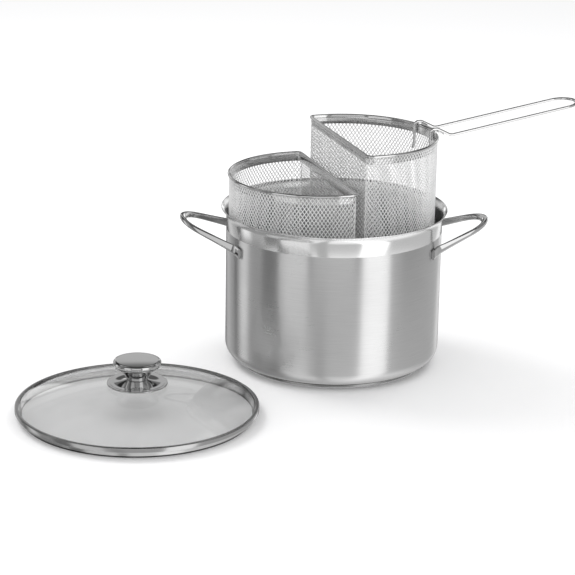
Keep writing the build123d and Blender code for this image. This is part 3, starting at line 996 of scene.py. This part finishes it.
@dataclass
class SideHandle:
    """One of the pot's two loop handles, a forged rod that flattens towards its feet."""

    name: str
    node: str
    turn: float
    wall_radius: float = 120 * MM
    reach: float = 48 * MM
    tip_radius: float = 35 * MM
    arm_angle: float = 27.5
    foot_angle: float = 27.5
    foot_length: float = 5 * MM
    foot_bend: float = 8 * MM
    root_height: float = 140.8 * MM
    rise: float = 21.0
    root_size: Point2 = (3.6 * MM, 11.6 * MM)
    tip_size: Point2 = (7.0 * MM, 5.8 * MM)
    squareness: float = 0.72
    section_steps: int = 32
    stations: int = 72
    cage_size: float = 400 * MM
    wall_gap: float = 0.1 * MM
    body: str = "pot"

    def plan(self) -> tuple[list[Point3], float, float]:
        """Centre line of the handle in plan.

        Returns:
            The rounded path, the distance of its knees from the pot's axis, and of its tip.
        """
        foot, arm = math.radians(self.foot_angle), math.radians(self.arm_angle)
        line = self.wall_radius + self.wall_gap + self.root_size[0] / 2
        tip = self.wall_radius + self.reach
        apex = tip + self.tip_radius / math.sin(arm) - self.tip_radius
        run = (apex * math.cos(foot) - line) / math.cos(arm + foot)
        knee_x, knee_y = apex - run * math.cos(arm), run * math.sin(arm)
        end_x = line * math.cos(foot) - self.foot_length * math.sin(foot)
        end_y = line * math.sin(foot) + self.foot_length * math.cos(foot)
        corners = [
            (end_x, -end_y, 0.0), (knee_x, -knee_y, 0.0), (apex, 0.0, 0.0),
            (knee_x, knee_y, 0.0), (end_x, end_y, 0.0),
        ]
        radii = [self.foot_bend, self.tip_radius, self.foot_bend]
        return round_path(corners, radii, BEND_STEPS), knee_x, tip

    def section(self, width: float, depth: float) -> list[Point2]:
        """Crowned section of the rod, between an ellipse and a rectangle.

        Args:
            width: Size away from the wall.
            depth: Upright size.

        Returns:
            Points of the closed outline.
        """
        made: list[Point2] = []
        for i in range(self.section_steps):
            angle = math.tau * i / self.section_steps
            across, along = math.cos(angle), math.sin(angle)
            made.append((
                width / 2 * math.copysign(abs(across) ** self.squareness, across),
                depth / 2 * math.copysign(abs(along) ** self.squareness, along),
            ))
        return made

    def build(self, steel: bpy.types.Material) -> None:
        """Forge the handle along its centre line.

        Args:
            steel: Finish of the handle.
        """
        path, knee_x, tip = self.plan()
        lengths = [0.0]
        for before, after in zip(path, path[1:]):
            lengths.append(lengths[-1] + (Vector(after) - Vector(before)).length)
        marks = [lengths[-1] * i / self.stations for i in range(self.stations + 1)]
        root_width, root_depth = self.root_size
        tip_width, tip_depth = self.tip_size
        sections = []
        for mark in marks:
            index = max(i for i, length in enumerate(lengths[:-1]) if length <= mark)
            share = (mark - lengths[index]) / (lengths[index + 1] - lengths[index])
            spot = Vector(path[index]).lerp(Vector(path[index + 1]), share)
            out_share = min(1.0, max(0.0, (spot.x - knee_x) / (tip - knee_x)))
            width = root_width + (tip_width - root_width) * out_share
            depth = root_depth + (tip_depth - root_depth) * math.sqrt(out_share)
            sections.append((mark, width, depth))
        outline = [(0.0, x, y) for x, y in self.section(*sections[0][1:])]
        draw_line(outline + outline[:1])
        bpy.ops.mesh.edge_face_add()
        for before, after in zip(sections, sections[1:]):
            step = (after[0] - before[0], 0, 0)
            bpy.ops.mesh.extrude_region_move(TRANSFORM_OT_translate={"value": step})
            bpy.ops.transform.resize(
                value=(1, after[1] / before[1], after[2] / before[2]),
                center_override=(after[0], 0, 0),
            )
        turn_outwards()
        rod = leave_edit(self.name)
        follow_path(rod, path)
        self.lift_tip(rod, knee_x)
        place_piece(
            rod,
            Matrix.Rotation(math.radians(self.turn), 4, "Z")
            @ Matrix.Translation((0, 0, self.root_height)),
        )
        bpy.ops.object.shade_smooth_by_angle(angle=SHARP_ANGLE)
        settle(rod, steel, self.body, self.node)

    def lift_tip(self, rod: bpy.types.Object, knee_x: float) -> None:
        """Slope the handle upwards away from the wall, with its feet kept upright.

        Args:
            rod: The handle, lying level.
            knee_x: Distance from the pot's axis at which the height stays.
        """
        deselect_all()
        bpy.ops.object.add(type="LATTICE", location=(knee_x, 0, 0))
        cage = bpy.context.object
        cage.data.points_u = cage.data.points_v = cage.data.points_w = 2
        for axis in "uvw":
            setattr(cage.data, f"interpolation_type_{axis}", "KEY_LINEAR")
        cage.scale = (self.cage_size,) * 3
        for point in cage.data.points:
            point.co_deform.z += point.co.x * math.tan(math.radians(self.rise))
        slope = rod.modifiers.new("slope", "LATTICE")
        slope.object = cage
        apply_modifiers(rod)
        bpy.data.objects.remove(cage)


@dataclass
class GlassLid:
    """The lid: steel ring, domed pane and the knob with its pads and screw."""

    centre: Point2 = (-213 * MM, -186 * MM)
    radius: float = 128.17 * MM
    sheet: float = 0.8 * MM
    ring_height: float = 12.3 * MM
    ring_edge: float = 1.2 * MM
    lip_width: float = 3.6 * MM
    shelf_inner: float = 123.37 * MM
    skirt_foot: float = 121.57 * MM
    glass: float = 3.8 * MM
    apex: float = 35.6 * MM
    gap: float = 0.1 * MM
    hole: float = 4.2 * MM
    dome_step: float = 0.3 * MM
    pane_bevel: float = 0.5 * MM
    pane_steps: int = 40
    knob_top: float = 61.0 * MM
    knob_top_radius: float = 23.2 * MM
    knob_head_radius: float = 25.2 * MM
    knob_edge: float = 3.2 * MM
    knob_depth: float = 6.4 * MM
    knob_under_radius: float = 24.0 * MM
    neck_radius: float = 11.3 * MM
    neck_sagitta: float = 1.7 * MM
    base_sagitta: float = 1.0 * MM
    joint_height: float = 39.8 * MM
    base_radius: float = 32.0 * MM
    base_rim: float = 1.9 * MM
    recess_radius: float = 29.0 * MM
    recess_height: float = 1.0 * MM
    base_taper: float = 0.6 * MM
    joint_edge: float = 0.4 * MM
    top_roll: float = 1.2 * MM
    rim_turn: Point2 = (70.0, -90.0)
    edge_turn: Point2 = (-62.0, 84.0)
    screw_radius: float = 2.9 * MM
    body: str = "lid"
    channel_top: float = field(init=False)
    shelf_height: float = field(init=False)
    dome_reach: float = field(init=False)
    dome_radius: float = field(init=False)
    dome_centre: float = field(init=False)

    def __post_init__(self) -> None:
        """Work out the sizes that follow from the others."""
        self.channel_top = self.ring_height - self.sheet
        self.shelf_height = self.channel_top - self.glass - 2 * self.gap
        self.dome_reach = self.radius - self.lip_width - self.dome_step
        rise = self.apex - (self.channel_top - self.gap)
        self.dome_radius = (self.dome_reach**2 + rise**2) / (2 * rise)
        self.dome_centre = self.apex - self.dome_radius

    def dome_height(self, reach: float, inset: float = 0.0) -> float:
        """Height of the pane's upper face, or of a face under it, at a distance from the axis."""
        return self.dome_centre + math.sqrt((self.dome_radius - inset) ** 2 - reach**2)

    def build(
        self,
        ring_steel: bpy.types.Material,
        pane: bpy.types.Material,
        head_steel: bpy.types.Material,
        foot_steel: bpy.types.Material,
    ) -> None:
        """Make the ring, the pane and the knob.

        Args:
            ring_steel: Finish of the ring.
            pane: Finish of the glass.
            head_steel: Finish of the knob's head.
            foot_steel: Finish of the knob's foot.
        """
        ring = lathe("lid_rim_ring", self.ring_profile(), self.centre)
        settle(ring, ring_steel, self.body, "lid_ring")
        glass = lathe("lid_pane", self.pane_profile(), self.centre)
        settle(glass, pane, self.body, "lid_glass")
        self.build_knob(head_steel, foot_steel)

    def ring_profile(self) -> list[Point2]:
        """Closed outline of the ring: skirt, shelf, and the channel round the pane's edge.

        Returns:
            Points as distance from the lid's axis and height.
        """
        shelf_foot = self.shelf_height - self.sheet
        lip = self.radius - self.lip_width
        half = self.sheet / 2
        edge, turn = self.ring_edge, self.radius - self.ring_edge
        bottom = arc((turn, shelf_foot + edge), edge, -90, 0, EDGE_STEPS)
        top = arc((turn, self.ring_height - edge), edge, 0, 90, EDGE_STEPS)
        lip_end = arc((lip, self.ring_height - half), half, 90, 270, EDGE_STEPS)
        profile = [(self.skirt_foot, 0.0), (self.shelf_inner, shelf_foot)] + bottom + top + lip_end
        inner = self.radius - self.sheet
        profile += [(inner, self.channel_top), (inner, self.shelf_height)]
        profile += [(self.shelf_inner - self.sheet, self.shelf_height)]
        profile += [(self.skirt_foot - self.sheet, 0.0), (self.skirt_foot, 0.0)]
        return profile

    def pane_profile(self) -> list[Point2]:
        """Closed outline of the domed pane with its ground hole and bevelled edge.

        Returns:
            Points as distance from the lid's axis and height.
        """
        edge = self.radius - self.sheet - self.gap
        top, foot = self.channel_top - self.gap, self.shelf_height + self.gap
        under_sphere = self.dome_radius - self.glass
        under_reach = math.sqrt(under_sphere**2 - (foot - self.dome_centre) ** 2)
        shares = [i / self.pane_steps for i in range(self.pane_steps + 1)]
        reaches = [self.hole + (self.dome_reach - self.hole) * share for share in shares]
        upper = [(reach, self.dome_height(reach)) for reach in reaches]
        reaches = [under_reach + (self.hole - under_reach) * share for share in shares]
        under = [(reach, self.dome_height(reach, self.glass)) for reach in reaches]
        bevel = self.pane_bevel
        rim = [(edge - bevel, top), (edge, top - bevel), (edge, foot + bevel), (edge - bevel, foot)]
        return upper + rim + under + upper[:1]

    def build_knob(self, head_steel: bpy.types.Material, foot_steel: bpy.types.Material) -> None:
        """Make the knob's foot and head.

        Args:
            head_steel: Finish of the head.
            foot_steel: Finish of the foot.
        """
        base_foot = self.dome_height(self.recess_radius) + self.gap
        ceiling = self.apex + self.recess_height
        screw_hole = self.screw_radius + self.gap
        outline = sagging_line(
            (self.neck_radius, self.joint_height),
            (self.base_radius - self.base_taper, base_foot + self.base_rim), self.base_sagitta,
        )
        rim_radius = self.base_rim / 2
        rim_centre = (self.base_radius - rim_radius, base_foot + rim_radius)
        outline += arc(rim_centre, rim_radius, *self.rim_turn, BEAD_STEPS)
        outline += [
            (self.recess_radius, base_foot), (self.recess_radius, ceiling),
            (screw_hole, ceiling), (screw_hole, self.joint_height), outline[0],
        ]
        base = lathe("knob_foot", outline, self.centre, SMALL_STEPS)
        settle(base, foot_steel, self.body, "knob_base")

        joint = self.joint_height + self.gap
        under = self.knob_top - self.knob_depth
        neck = sagging_line(
            (self.knob_under_radius, under), (self.neck_radius, joint + self.joint_edge),
            self.neck_sagitta,
        )
        outline = [(0.0, joint), (self.neck_radius - self.joint_edge, joint)] + neck[::-1]
        middle = self.knob_top - self.knob_edge
        edge_centre = (self.knob_head_radius - self.knob_edge, middle)
        outline += arc(edge_centre, self.knob_edge, *self.edge_turn, BEND_STEPS)
        outline += [(self.knob_top_radius - self.top_roll, self.knob_top), (0.0, self.knob_top)]
        head = lathe("knob_grip", outline, self.centre, SMALL_STEPS)
        settle(head, head_steel, self.body, "knob_head")


@dataclass
class Basket:
    """One half-round net basket, drawn about the centre of its round side."""

    side: str
    turn: float
    centre: Point2
    rim_top: float
    radius: float = 98.8 * MM
    chord: float = 14.2 * MM
    corner: float = 7.0 * MM
    height: float = 155 * MM
    bead: float = 1.6 * MM
    band_height: float = 10.8 * MM
    band_sheet: float = 0.8 * MM
    band_gap: float = 0.7 * MM
    band_edge: float = 0.15 * MM
    net_inset: float = 1.9 * MM
    seam_width: float = 7.0 * MM
    hem_height: float = 3.0 * MM
    hem_sheet: float = 2.6 * MM
    hem_edge: float = 0.5 * MM
    seam_step: float = 0.2 * MM
    cell_width: float = 4.2 * MM
    cell_height: float = 6.2 * MM
    strand_width: float = 1.0 * MM
    strand_depth: float = 1.0 * MM
    flat_depth: float = 0.5 * MM
    ridge_share: float = 0.499
    gap: float = 0.1 * MM

    @property
    def body(self) -> str:
        """Name of the body that the basket's pieces ride on."""
        return f"{self.side}_basket"

    @property
    def foot(self) -> float:
        """Height of the basket's underside."""
        return self.rim_top - self.height

    def place(self, height: float = 0.0) -> Matrix:
        """Matrix from the basket's own frame to the frame of the whole object.

        Args:
            height: Height at which the basket's own frame lies.

        Returns:
            The matrix.
        """
        turned = Matrix.Rotation(math.radians(self.turn), 4, "Z")
        return Matrix.Translation((self.centre[0], self.centre[1], height)) @ turned

    def outline(self, inset: float, steps: int = ROUND_STEPS) -> list[Point2]:
        """Half-round outline, drawn inwards from the rim by an inset, closed.

        Args:
            inset: Distance inwards.
            steps: Edges of the round side.

        Returns:
            The points, walked to the left about the middle.
        """
        arcs = self.outline_arcs(inset, steps)
        points = arcs[0][:-1] + arcs[1] + arcs[2]
        return points + points[:1] if points[-1] != points[0] else points

    def outline_arcs(self, inset: float, steps: int = ROUND_STEPS) -> list[list[Point2]]:
        """The round side and the two corners of the outline.

        Args:
            inset: Distance inwards.
            steps: Edges of the round side.

        Returns:
            Points of the round side, of the corner that ends it, and of the one that begins it.
        """
        radius, corner = self.radius - inset, self.corner - inset
        corner_x = corner - (self.chord - inset)
        corner_y = math.sqrt((radius - corner) ** 2 - corner_x**2)
        limit = math.degrees(math.atan2(corner_y, corner_x))
        round_side = arc((0, 0), radius, -limit, limit, steps)
        ending = arc((corner_x, corner_y), corner, limit, 180, BEAD_STEPS)
        beginning = arc((corner_x, -corner_y), corner, 180, 360 - limit, BEAD_STEPS)
        return [round_side, ending, beginning[:-1] + round_side[:1]]

    def net_cell(self, depth: float) -> None:
        """Model one diamond of the net, flat in X and Y.

        The four strands round the gap have a ridge at their middle on both faces, so that
        neighbouring cells share the ridges and the strands come out rounded.

        Args:
            depth: Thickness of the strands at their ridges.
        """
        deselect_all()
        bpy.ops.mesh.primitive_circle_add(vertices=4, radius=0.5, fill_type="NGON")
        cell = bpy.context.object
        bpy.ops.object.mode_set(mode="EDIT")
        bpy.ops.mesh.select_mode(type="FACE")
        bpy.ops.mesh.select_all(action="SELECT")
        bpy.ops.transform.resize(
            value=(self.cell_width, self.cell_height, 1), center_override=(0, 0, 0)
        )
        bpy.ops.mesh.inset(thickness=self.strand_width / 2, depth=0)
        bpy.ops.mesh.delete(type="FACE")
        bpy.ops.object.mode_set(mode="OBJECT")
        for vertex in cell.data.vertices:
            across, along = abs(vertex.co.x) / self.cell_width, abs(vertex.co.y) / self.cell_height
            vertex.select = across + along > self.ridge_share
        bpy.ops.object.mode_set(mode="EDIT")
        bpy.ops.mesh.select_mode(type="VERT")
        bpy.ops.transform.translate(value=(0, 0, depth / 2))
        bpy.ops.object.mode_set(mode="OBJECT")
        mirror = cell.modifiers.new("other_face", "MIRROR")
        mirror.use_axis = (False, False, True)
        mirror.use_mirror_merge = True
        mirror.merge_threshold = WELD
        apply_modifiers(cell)

    def net_sheet(
        self, name: str, width: float, height: float, depth: float | None = None
    ) -> bpy.types.Object:
        """Lay out a net of cells about the origin, upright in X and Z, with trimmed edges.

        Args:
            name: Name of the piece.
            width: Size in X after trimming.
            height: Size in Z after trimming.
            depth: Thickness of the strands, if it isn't that of the round net.

        Returns:
            The net as a closed mesh.
        """
        self.net_cell(self.strand_depth if depth is None else depth)
        net = bpy.context.object
        columns = math.ceil(width / self.cell_width) + 2
        rows = math.ceil(height / self.cell_height) + 2
        for count, step in (
            (2, (self.cell_width / 2, self.cell_height / 2, 0)),
            (columns, (self.cell_width, 0, 0)),
            (rows, (0, self.cell_height, 0)),
        ):
            array = net.modifiers.new("repeat", "ARRAY")
            array.count = count
            array.use_relative_offset = False
            array.use_constant_offset = True
            array.constant_offset_displace = step
        apply_modifiers(net)
        shift = Matrix.Translation(
            (-(columns - 1) * self.cell_width / 2, -(rows - 1) * self.cell_height / 2, 0)
        )
        place_piece(net, Matrix.Rotation(math.pi / 2, 4, "X") @ shift)
        bpy.ops.object.mode_set(mode="EDIT")
        bpy.ops.mesh.select_all(action="SELECT")
        bpy.ops.mesh.remove_doubles(threshold=WELD)
        for place, way in (
            ((width / 2, 0, 0), (1, 0, 0)), ((-width / 2, 0, 0), (-1, 0, 0)),
            ((0, 0, height / 2), (0, 0, 1)), ((0, 0, -height / 2), (0, 0, -1)),
        ):
            trim_beyond(place, way)
        turn_outwards()
        return leave_edit(name)

    def build_nets(self, steel: bpy.types.Material, shaded_net_steel: bpy.types.Material) -> None:
        """Make the round, the flat and the floor net.

        Args:
            steel: Finish of the round net.
            shaded_net_steel: Finish of the flat net and the floor net, a darker copy of the net's
                steel as painted shade.
        """
        low = self.foot + self.hem_height + self.gap
        high = self.rim_top - 2 * self.bead - self.gap
        middle, rise = (low + high) / 2, high - low
        reach = self.radius - self.net_inset
        flat_x = self.chord - self.net_inset
        start_x = self.seam_width - flat_x
        half_angle = math.pi / 2 - math.asin(start_x / reach)
        net = self.net_sheet(f"{self.side}_basket_net_round", 2 * half_angle * reach, rise)
        bend = net.modifiers.new("bend", "SIMPLE_DEFORM")
        bend.deform_method = "BEND"
        bend.deform_axis = "Z"
        bend.angle = 2 * half_angle
        apply_modifiers(net)
        facing = Matrix.Rotation(math.pi / 2, 4, "Z") @ Matrix.Translation((0, -reach, 0))
        place_piece(net, self.place(middle) @ facing)
        settle(net, steel, self.body, f"{self.side}_basket_round_net")

        half_chord = math.sqrt(reach**2 - flat_x**2) - self.seam_width
        net = self.net_sheet(
            f"{self.side}_basket_net_flat", 2 * half_chord, rise, self.flat_depth
        )
        facing = Matrix.Translation((-flat_x, 0, 0)) @ Matrix.Rotation(math.pi / 2, 4, "Z")
        place_piece(net, self.place(middle) @ facing)
        settle(net, shaded_net_steel, self.body, f"{self.side}_basket_flat_net")

        inset = self.hem_sheet + self.gap
        wide, deep = self.radius + self.chord - 2 * inset, 2 * (self.radius - inset)
        net = self.net_sheet(f"{self.side}_basket_net_floor", wide, deep)
        shift = Matrix.Translation(((self.radius - self.chord) / 2, 0, 0))
        place_piece(net, shift @ Matrix.Rotation(math.pi / 2, 4, "X"))
        bpy.ops.object.mode_set(mode="EDIT")
        inner = self.outline(inset, TRIM_STEPS)
        for before, after in zip(inner, inner[1:]):
            trim_beyond(
                (before[0], before[1], 0), (after[1] - before[1], before[0] - after[0], 0)
            )
        turn_outwards()
        net = leave_edit(f"{self.side}_basket_net_floor")
        place_piece(net, self.place(self.foot + self.hem_height / 2))
        settle(net, shaded_net_steel, self.body, f"{self.side}_basket_floor_net")

    def build(
        self,
        steel: bpy.types.Material,
        net_steel: bpy.types.Material,
        shaded_net_steel: bpy.types.Material,
    ) -> None:
        """Make all pieces of the basket.

        Args:
            steel: Finish of the rim and the hem.
            net_steel: Finish of the round net and the seams.
            shaded_net_steel: Finish of the flat net and the floor net, a darker copy of the net's
                steel as painted shade.
        """
        bead = tube(
            f"{self.side}_basket_bead",
            [(x, y, -self.bead) for x, y in self.outline(self.bead)], self.bead,
        )
        band = wall_strip(
            f"{self.side}_basket_band", self.outline(self.net_inset + self.band_gap),
            -self.band_height, -self.bead, self.band_sheet, self.band_edge,
        )
        rim = join_pieces(f"{self.side}_basket_rolled_rim", [bead, band])
        place_piece(rim, self.place(self.rim_top))
        settle(rim, steel, self.body, f"{self.side}_basket_rim")

        hem = wall_strip(
            f"{self.side}_basket_hem", self.outline(0.0), 0, self.hem_height, self.hem_sheet,
            self.hem_edge,
        )
        place_piece(hem, self.place(self.foot))
        settle(hem, steel, self.body, f"{self.side}_basket_bottom_rim")

        low = self.foot + self.hem_height + self.gap
        high = self.rim_top - 2 * self.bead - self.gap
        arcs = self.outline_arcs(self.net_inset)
        flat_x = self.chord - self.net_inset
        half_chord = math.sqrt((self.radius - self.net_inset) ** 2 - flat_x**2) - self.seam_width
        limit_x = self.seam_width - flat_x
        seam_reach = self.radius - self.net_inset
        flat_end = (-flat_x, half_chord)
        round_end = (limit_x, math.sqrt(seam_reach**2 - limit_x**2))
        ending = [round_end] + [p for p in arcs[0] if p[1] > 0 and p[0] < limit_x - self.seam_step]
        ending += arcs[1][1:] + [flat_end]
        beginning = [(x, -y) for x, y in reversed(ending)]
        for end, path in (("rear", ending), ("front", beginning)):
            length = sum((Vector(b) - Vector(a)).length for a, b in zip(path, path[1:]))
            seam = self.net_sheet(f"{self.side}_basket_{end}_strip", length, high - low)
            place_piece(seam, Matrix.Translation((length / 2, 0, (high - low) / 2)))
            follow_path(seam, [(x, y, 0.0) for x, y in path])
            place_piece(seam, self.place(low))
            settle(seam, net_steel, self.body, f"{self.side}_basket_{end}_seam")
        self.build_nets(net_steel, shaded_net_steel)


@dataclass
class WireHandle:
    """The loose handle: one bent wire and the plate that bridges it."""

    centre: Point2
    rim_top: float
    turn: float
    leg_reach: float
    basket_radius: float = Basket.radius
    wire: float = 1.65 * MM
    wire_sides: int = 7
    spacing: float = 38.8 * MM
    crest: float = 1.95 * MM
    leg_length: float = 25 * MM
    tip_length: float = 5 * MM
    tip_hook: float = 1.6 * MM
    crest_length: float = 8.4 * MM
    valley_reach: float = 17 * MM
    valley_drop: float = 8.6 * MM
    grip_length: float = 169 * MM
    grip_rise: float = 7.6
    bends: tuple[float, ...] = (4 * MM, 4 * MM, 7 * MM, 12 * MM)
    bridge_width: float = 8 * MM
    bridge_sheet: float = 1.5 * MM
    bridge_edge: float = 0.45 * MM
    bridge_gap: float = 0.1 * MM
    rim_gap: float = 0.3 * MM
    body: str = "basket_handle"

    def build(self, steel: bpy.types.Material) -> None:
        """Bend the wire and fit the bridge plate.

        Args:
            steel: Finish of both pieces.
        """
        turned = Matrix.Rotation(math.radians(self.turn), 4, "Z")
        place = Matrix.Translation((self.centre[0], self.centre[1], self.rim_top)) @ turned
        half = self.spacing / 2
        leg, crest = self.leg_reach, self.crest
        valley = leg + self.crest_length + self.valley_reach
        valley_height = crest - self.valley_drop
        grip_height = valley_height + self.grip_length * math.tan(math.radians(self.grip_rise))
        profile = [
            (leg - self.tip_hook, crest - self.leg_length - self.tip_length),
            (leg, crest - self.leg_length),
            (leg, crest),
            (leg + self.crest_length, crest),
            (valley, valley_height),
            (valley + self.grip_length, grip_height),
        ]
        near = [(x, -half, z) for x, z in profile]
        far = [(x, half, z) for x, z in reversed(profile)]
        turn_radius = half - self.bridge_gap
        radii = list(self.bends) + [turn_radius, turn_radius] + list(reversed(self.bends))
        path = round_path(near + far, radii, WIRE_STEPS)
        wire = tube("basket_handle_loop", path, self.wire, self.wire_sides)
        place_piece(wire, place)
        settle(wire, steel, self.body, "basket_handle_wire")

        slope = math.atan(self.valley_drop / self.valley_reach)
        drop = self.wire + self.bridge_sheet / 2 + self.bridge_gap
        start = self.basket_radius + self.rim_gap + self.bridge_sheet * math.sin(slope)
        reach = start + self.bridge_width / 2 * math.cos(slope)
        height = (
            crest - (reach - leg - self.crest_length) * math.tan(slope) - drop / math.cos(slope)
        )
        deselect_all()
        bpy.ops.mesh.primitive_cube_add(size=1)
        plate = bpy.context.object
        bpy.ops.object.mode_set(mode="EDIT")
        bpy.ops.mesh.select_all(action="SELECT")
        bpy.ops.transform.resize(
            value=(self.bridge_width, self.spacing + 2 * self.wire, self.bridge_sheet),
            center_override=(0, 0, 0),
        )
        bpy.ops.mesh.bevel(offset=self.bridge_edge, segments=3, affect="EDGES")
        turn_outwards()
        plate = leave_edit("basket_handle_plate")
        local = Matrix.Translation((reach, 0, height)) @ Matrix.Rotation(slope, 4, "Y")
        place_piece(plate, place @ local)
        bpy.ops.object.shade_smooth_by_angle(angle=SHARP_ANGLE)
        settle(plate, steel, self.body, "basket_handle_bridge")


@dataclass
class BasketPair:
    """The two baskets and where they stand in the pot."""

    pot_inner_radius: float = 119.2 * MM
    running_gap: float = 0.3 * MM
    axis_turn: float = 16.4
    side_shift: float = 5.3 * MM
    right_wall_gap: float = 6.2 * MM
    wire_turn: float = 5.9

    def build(
        self,
        steel: bpy.types.Material,
        net_steel: bpy.types.Material,
        shaded_net_steel: bpy.types.Material,
        wire_steel: bpy.types.Material,
    ) -> None:
        """Make both baskets and the wire handle.

        Args:
            steel: Finish of the rims and hems.
            net_steel: Finish of the round nets and the seams.
            shaded_net_steel: Finish of the flat and floor nets, a darker copy of the net's steel as
                painted shade.
            wire_steel: Finish of the wire handle.
        """
        radius = Basket.radius
        reach = math.sqrt(
            (self.pot_inner_radius - self.running_gap - radius) ** 2 - self.side_shift**2
        )
        turned = Matrix.Rotation(math.radians(self.axis_turn), 2)
        left_centre = turned @ Vector((-reach, self.side_shift))
        right_centre = turned @ Vector((reach - self.right_wall_gap, -self.side_shift))
        tops = {side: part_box(f"{side}_basket_rim")[1].z for side in ("left", "right")}
        left = Basket("left", self.axis_turn + 180, tuple(left_centre), tops["left"])
        left.build(steel, net_steel, shaded_net_steel)
        right = Basket("right", self.axis_turn, tuple(right_centre), tops["right"])
        right.build(steel, net_steel, shaded_net_steel)
        inner = radius - right.net_inset - right.band_gap - right.band_sheet
        wire = WireHandle.wire
        leg = math.sqrt(inner**2 - (WireHandle.spacing / 2 + wire) ** 2) - self.running_gap - wire
        handle = WireHandle(
            tuple(right_centre), tops["right"], self.axis_turn + self.wire_turn, leg
        )
        handle.build(wire_steel)


def main() -> None:
    """Build the studio and every piece of the object."""
    logging.basicConfig(level=logging.INFO, format="%(name)s: %(message)s")
    Studio().build()
    # Painted shade on the pot wall: a dark crease at the foot, a darker lower corner and a darker
    # inner face.
    pot_steel = Steel(
        "pot_wall_steel", (0.66, 0.66, 0.66), 0.3, Grain.AROUND, streaks=0.05,
        anisotropy=0.85, band_height=PotBody.groove_height, crease_shade=PotBody.crease_shade,
        shaded_foot=PotBody.shaded_foot, inside_shade_radius=PotBody.outer_radius - PotBody.wall / 2,
    ).make()
    # Painted shade along the cap's top edge in the crease.
    base_steel = Steel(
        "base_steel_satin", (0.3, 0.3, 0.3), 0.25, Grain.AROUND, crease_shade=PotBody.crease_shade
    ).make()
    mirror = Steel("mirror_steel", (0.62, 0.62, 0.62), 0.05, streaks=0.02).make()
    # Painted shade along the ring's lower edge where it stands on the floor.
    ring_steel = Steel(
        "lid_ring_steel", (0.5, 0.5, 0.5), 0.16, Grain.AROUND, streaks=0.03,
        centre=GlassLid.centre, crease_shade=(-1.0 * MM, 1.3 * MM),
    ).make()
    head_steel = Steel("knob_steel_polished", (0.6, 0.6, 0.6), 0.04, streaks=0.02).make()
    foot_steel = Steel("knob_foot_steel", (0.56, 0.56, 0.56), 0.04, streaks=0.02).make()
    rim_steel = Steel("basket_rim_steel", (0.72, 0.72, 0.72), 0.07, streaks=0.03).make()
    net_steel = Steel("net_steel_satin", (0.96, 0.96, 0.96), 0.3, metal=0.25).make()
    # Painted shade: the same steel as the round net, made darker for the flat and floor nets.
    shaded_net_steel = Steel("net_steel_shaded_copy", (0.72, 0.72, 0.72), 0.26, metal=0.6).make()
    wire_steel = Steel("wire_steel_polished", (0.76, 0.76, 0.76), 0.08, streaks=0.02).make()
    core_steel = Steel("core_aluminium", (0.8, 0.8, 0.8), 0.4, Grain.AROUND).make()
    pad = Silicone("knob_pad_silicone").make()
    screw_steel = Steel("screw_steel", (0.6, 0.6, 0.6), 0.3).make()
    for node, finish in (
        ("base_core", core_steel), ("knob_seal", pad), ("knob_washer", pad),
        ("knob_screw", screw_steel),
    ):
        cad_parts[node].data.materials.clear()
        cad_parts[node].data.materials.append(finish)
    PotBody().build(pot_steel, base_steel)
    SideHandle("handle_loop_right", "right_handle", 0.0).build(mirror)
    SideHandle("handle_loop_left", "left_handle", 180.0).build(mirror)
    GlassLid().build(ring_steel, ClearGlass().make(), head_steel, foot_steel)
    BasketPair().build(rim_steel, net_steel, shaded_net_steel, wire_steel)


if __name__ == "__main__":
    main()
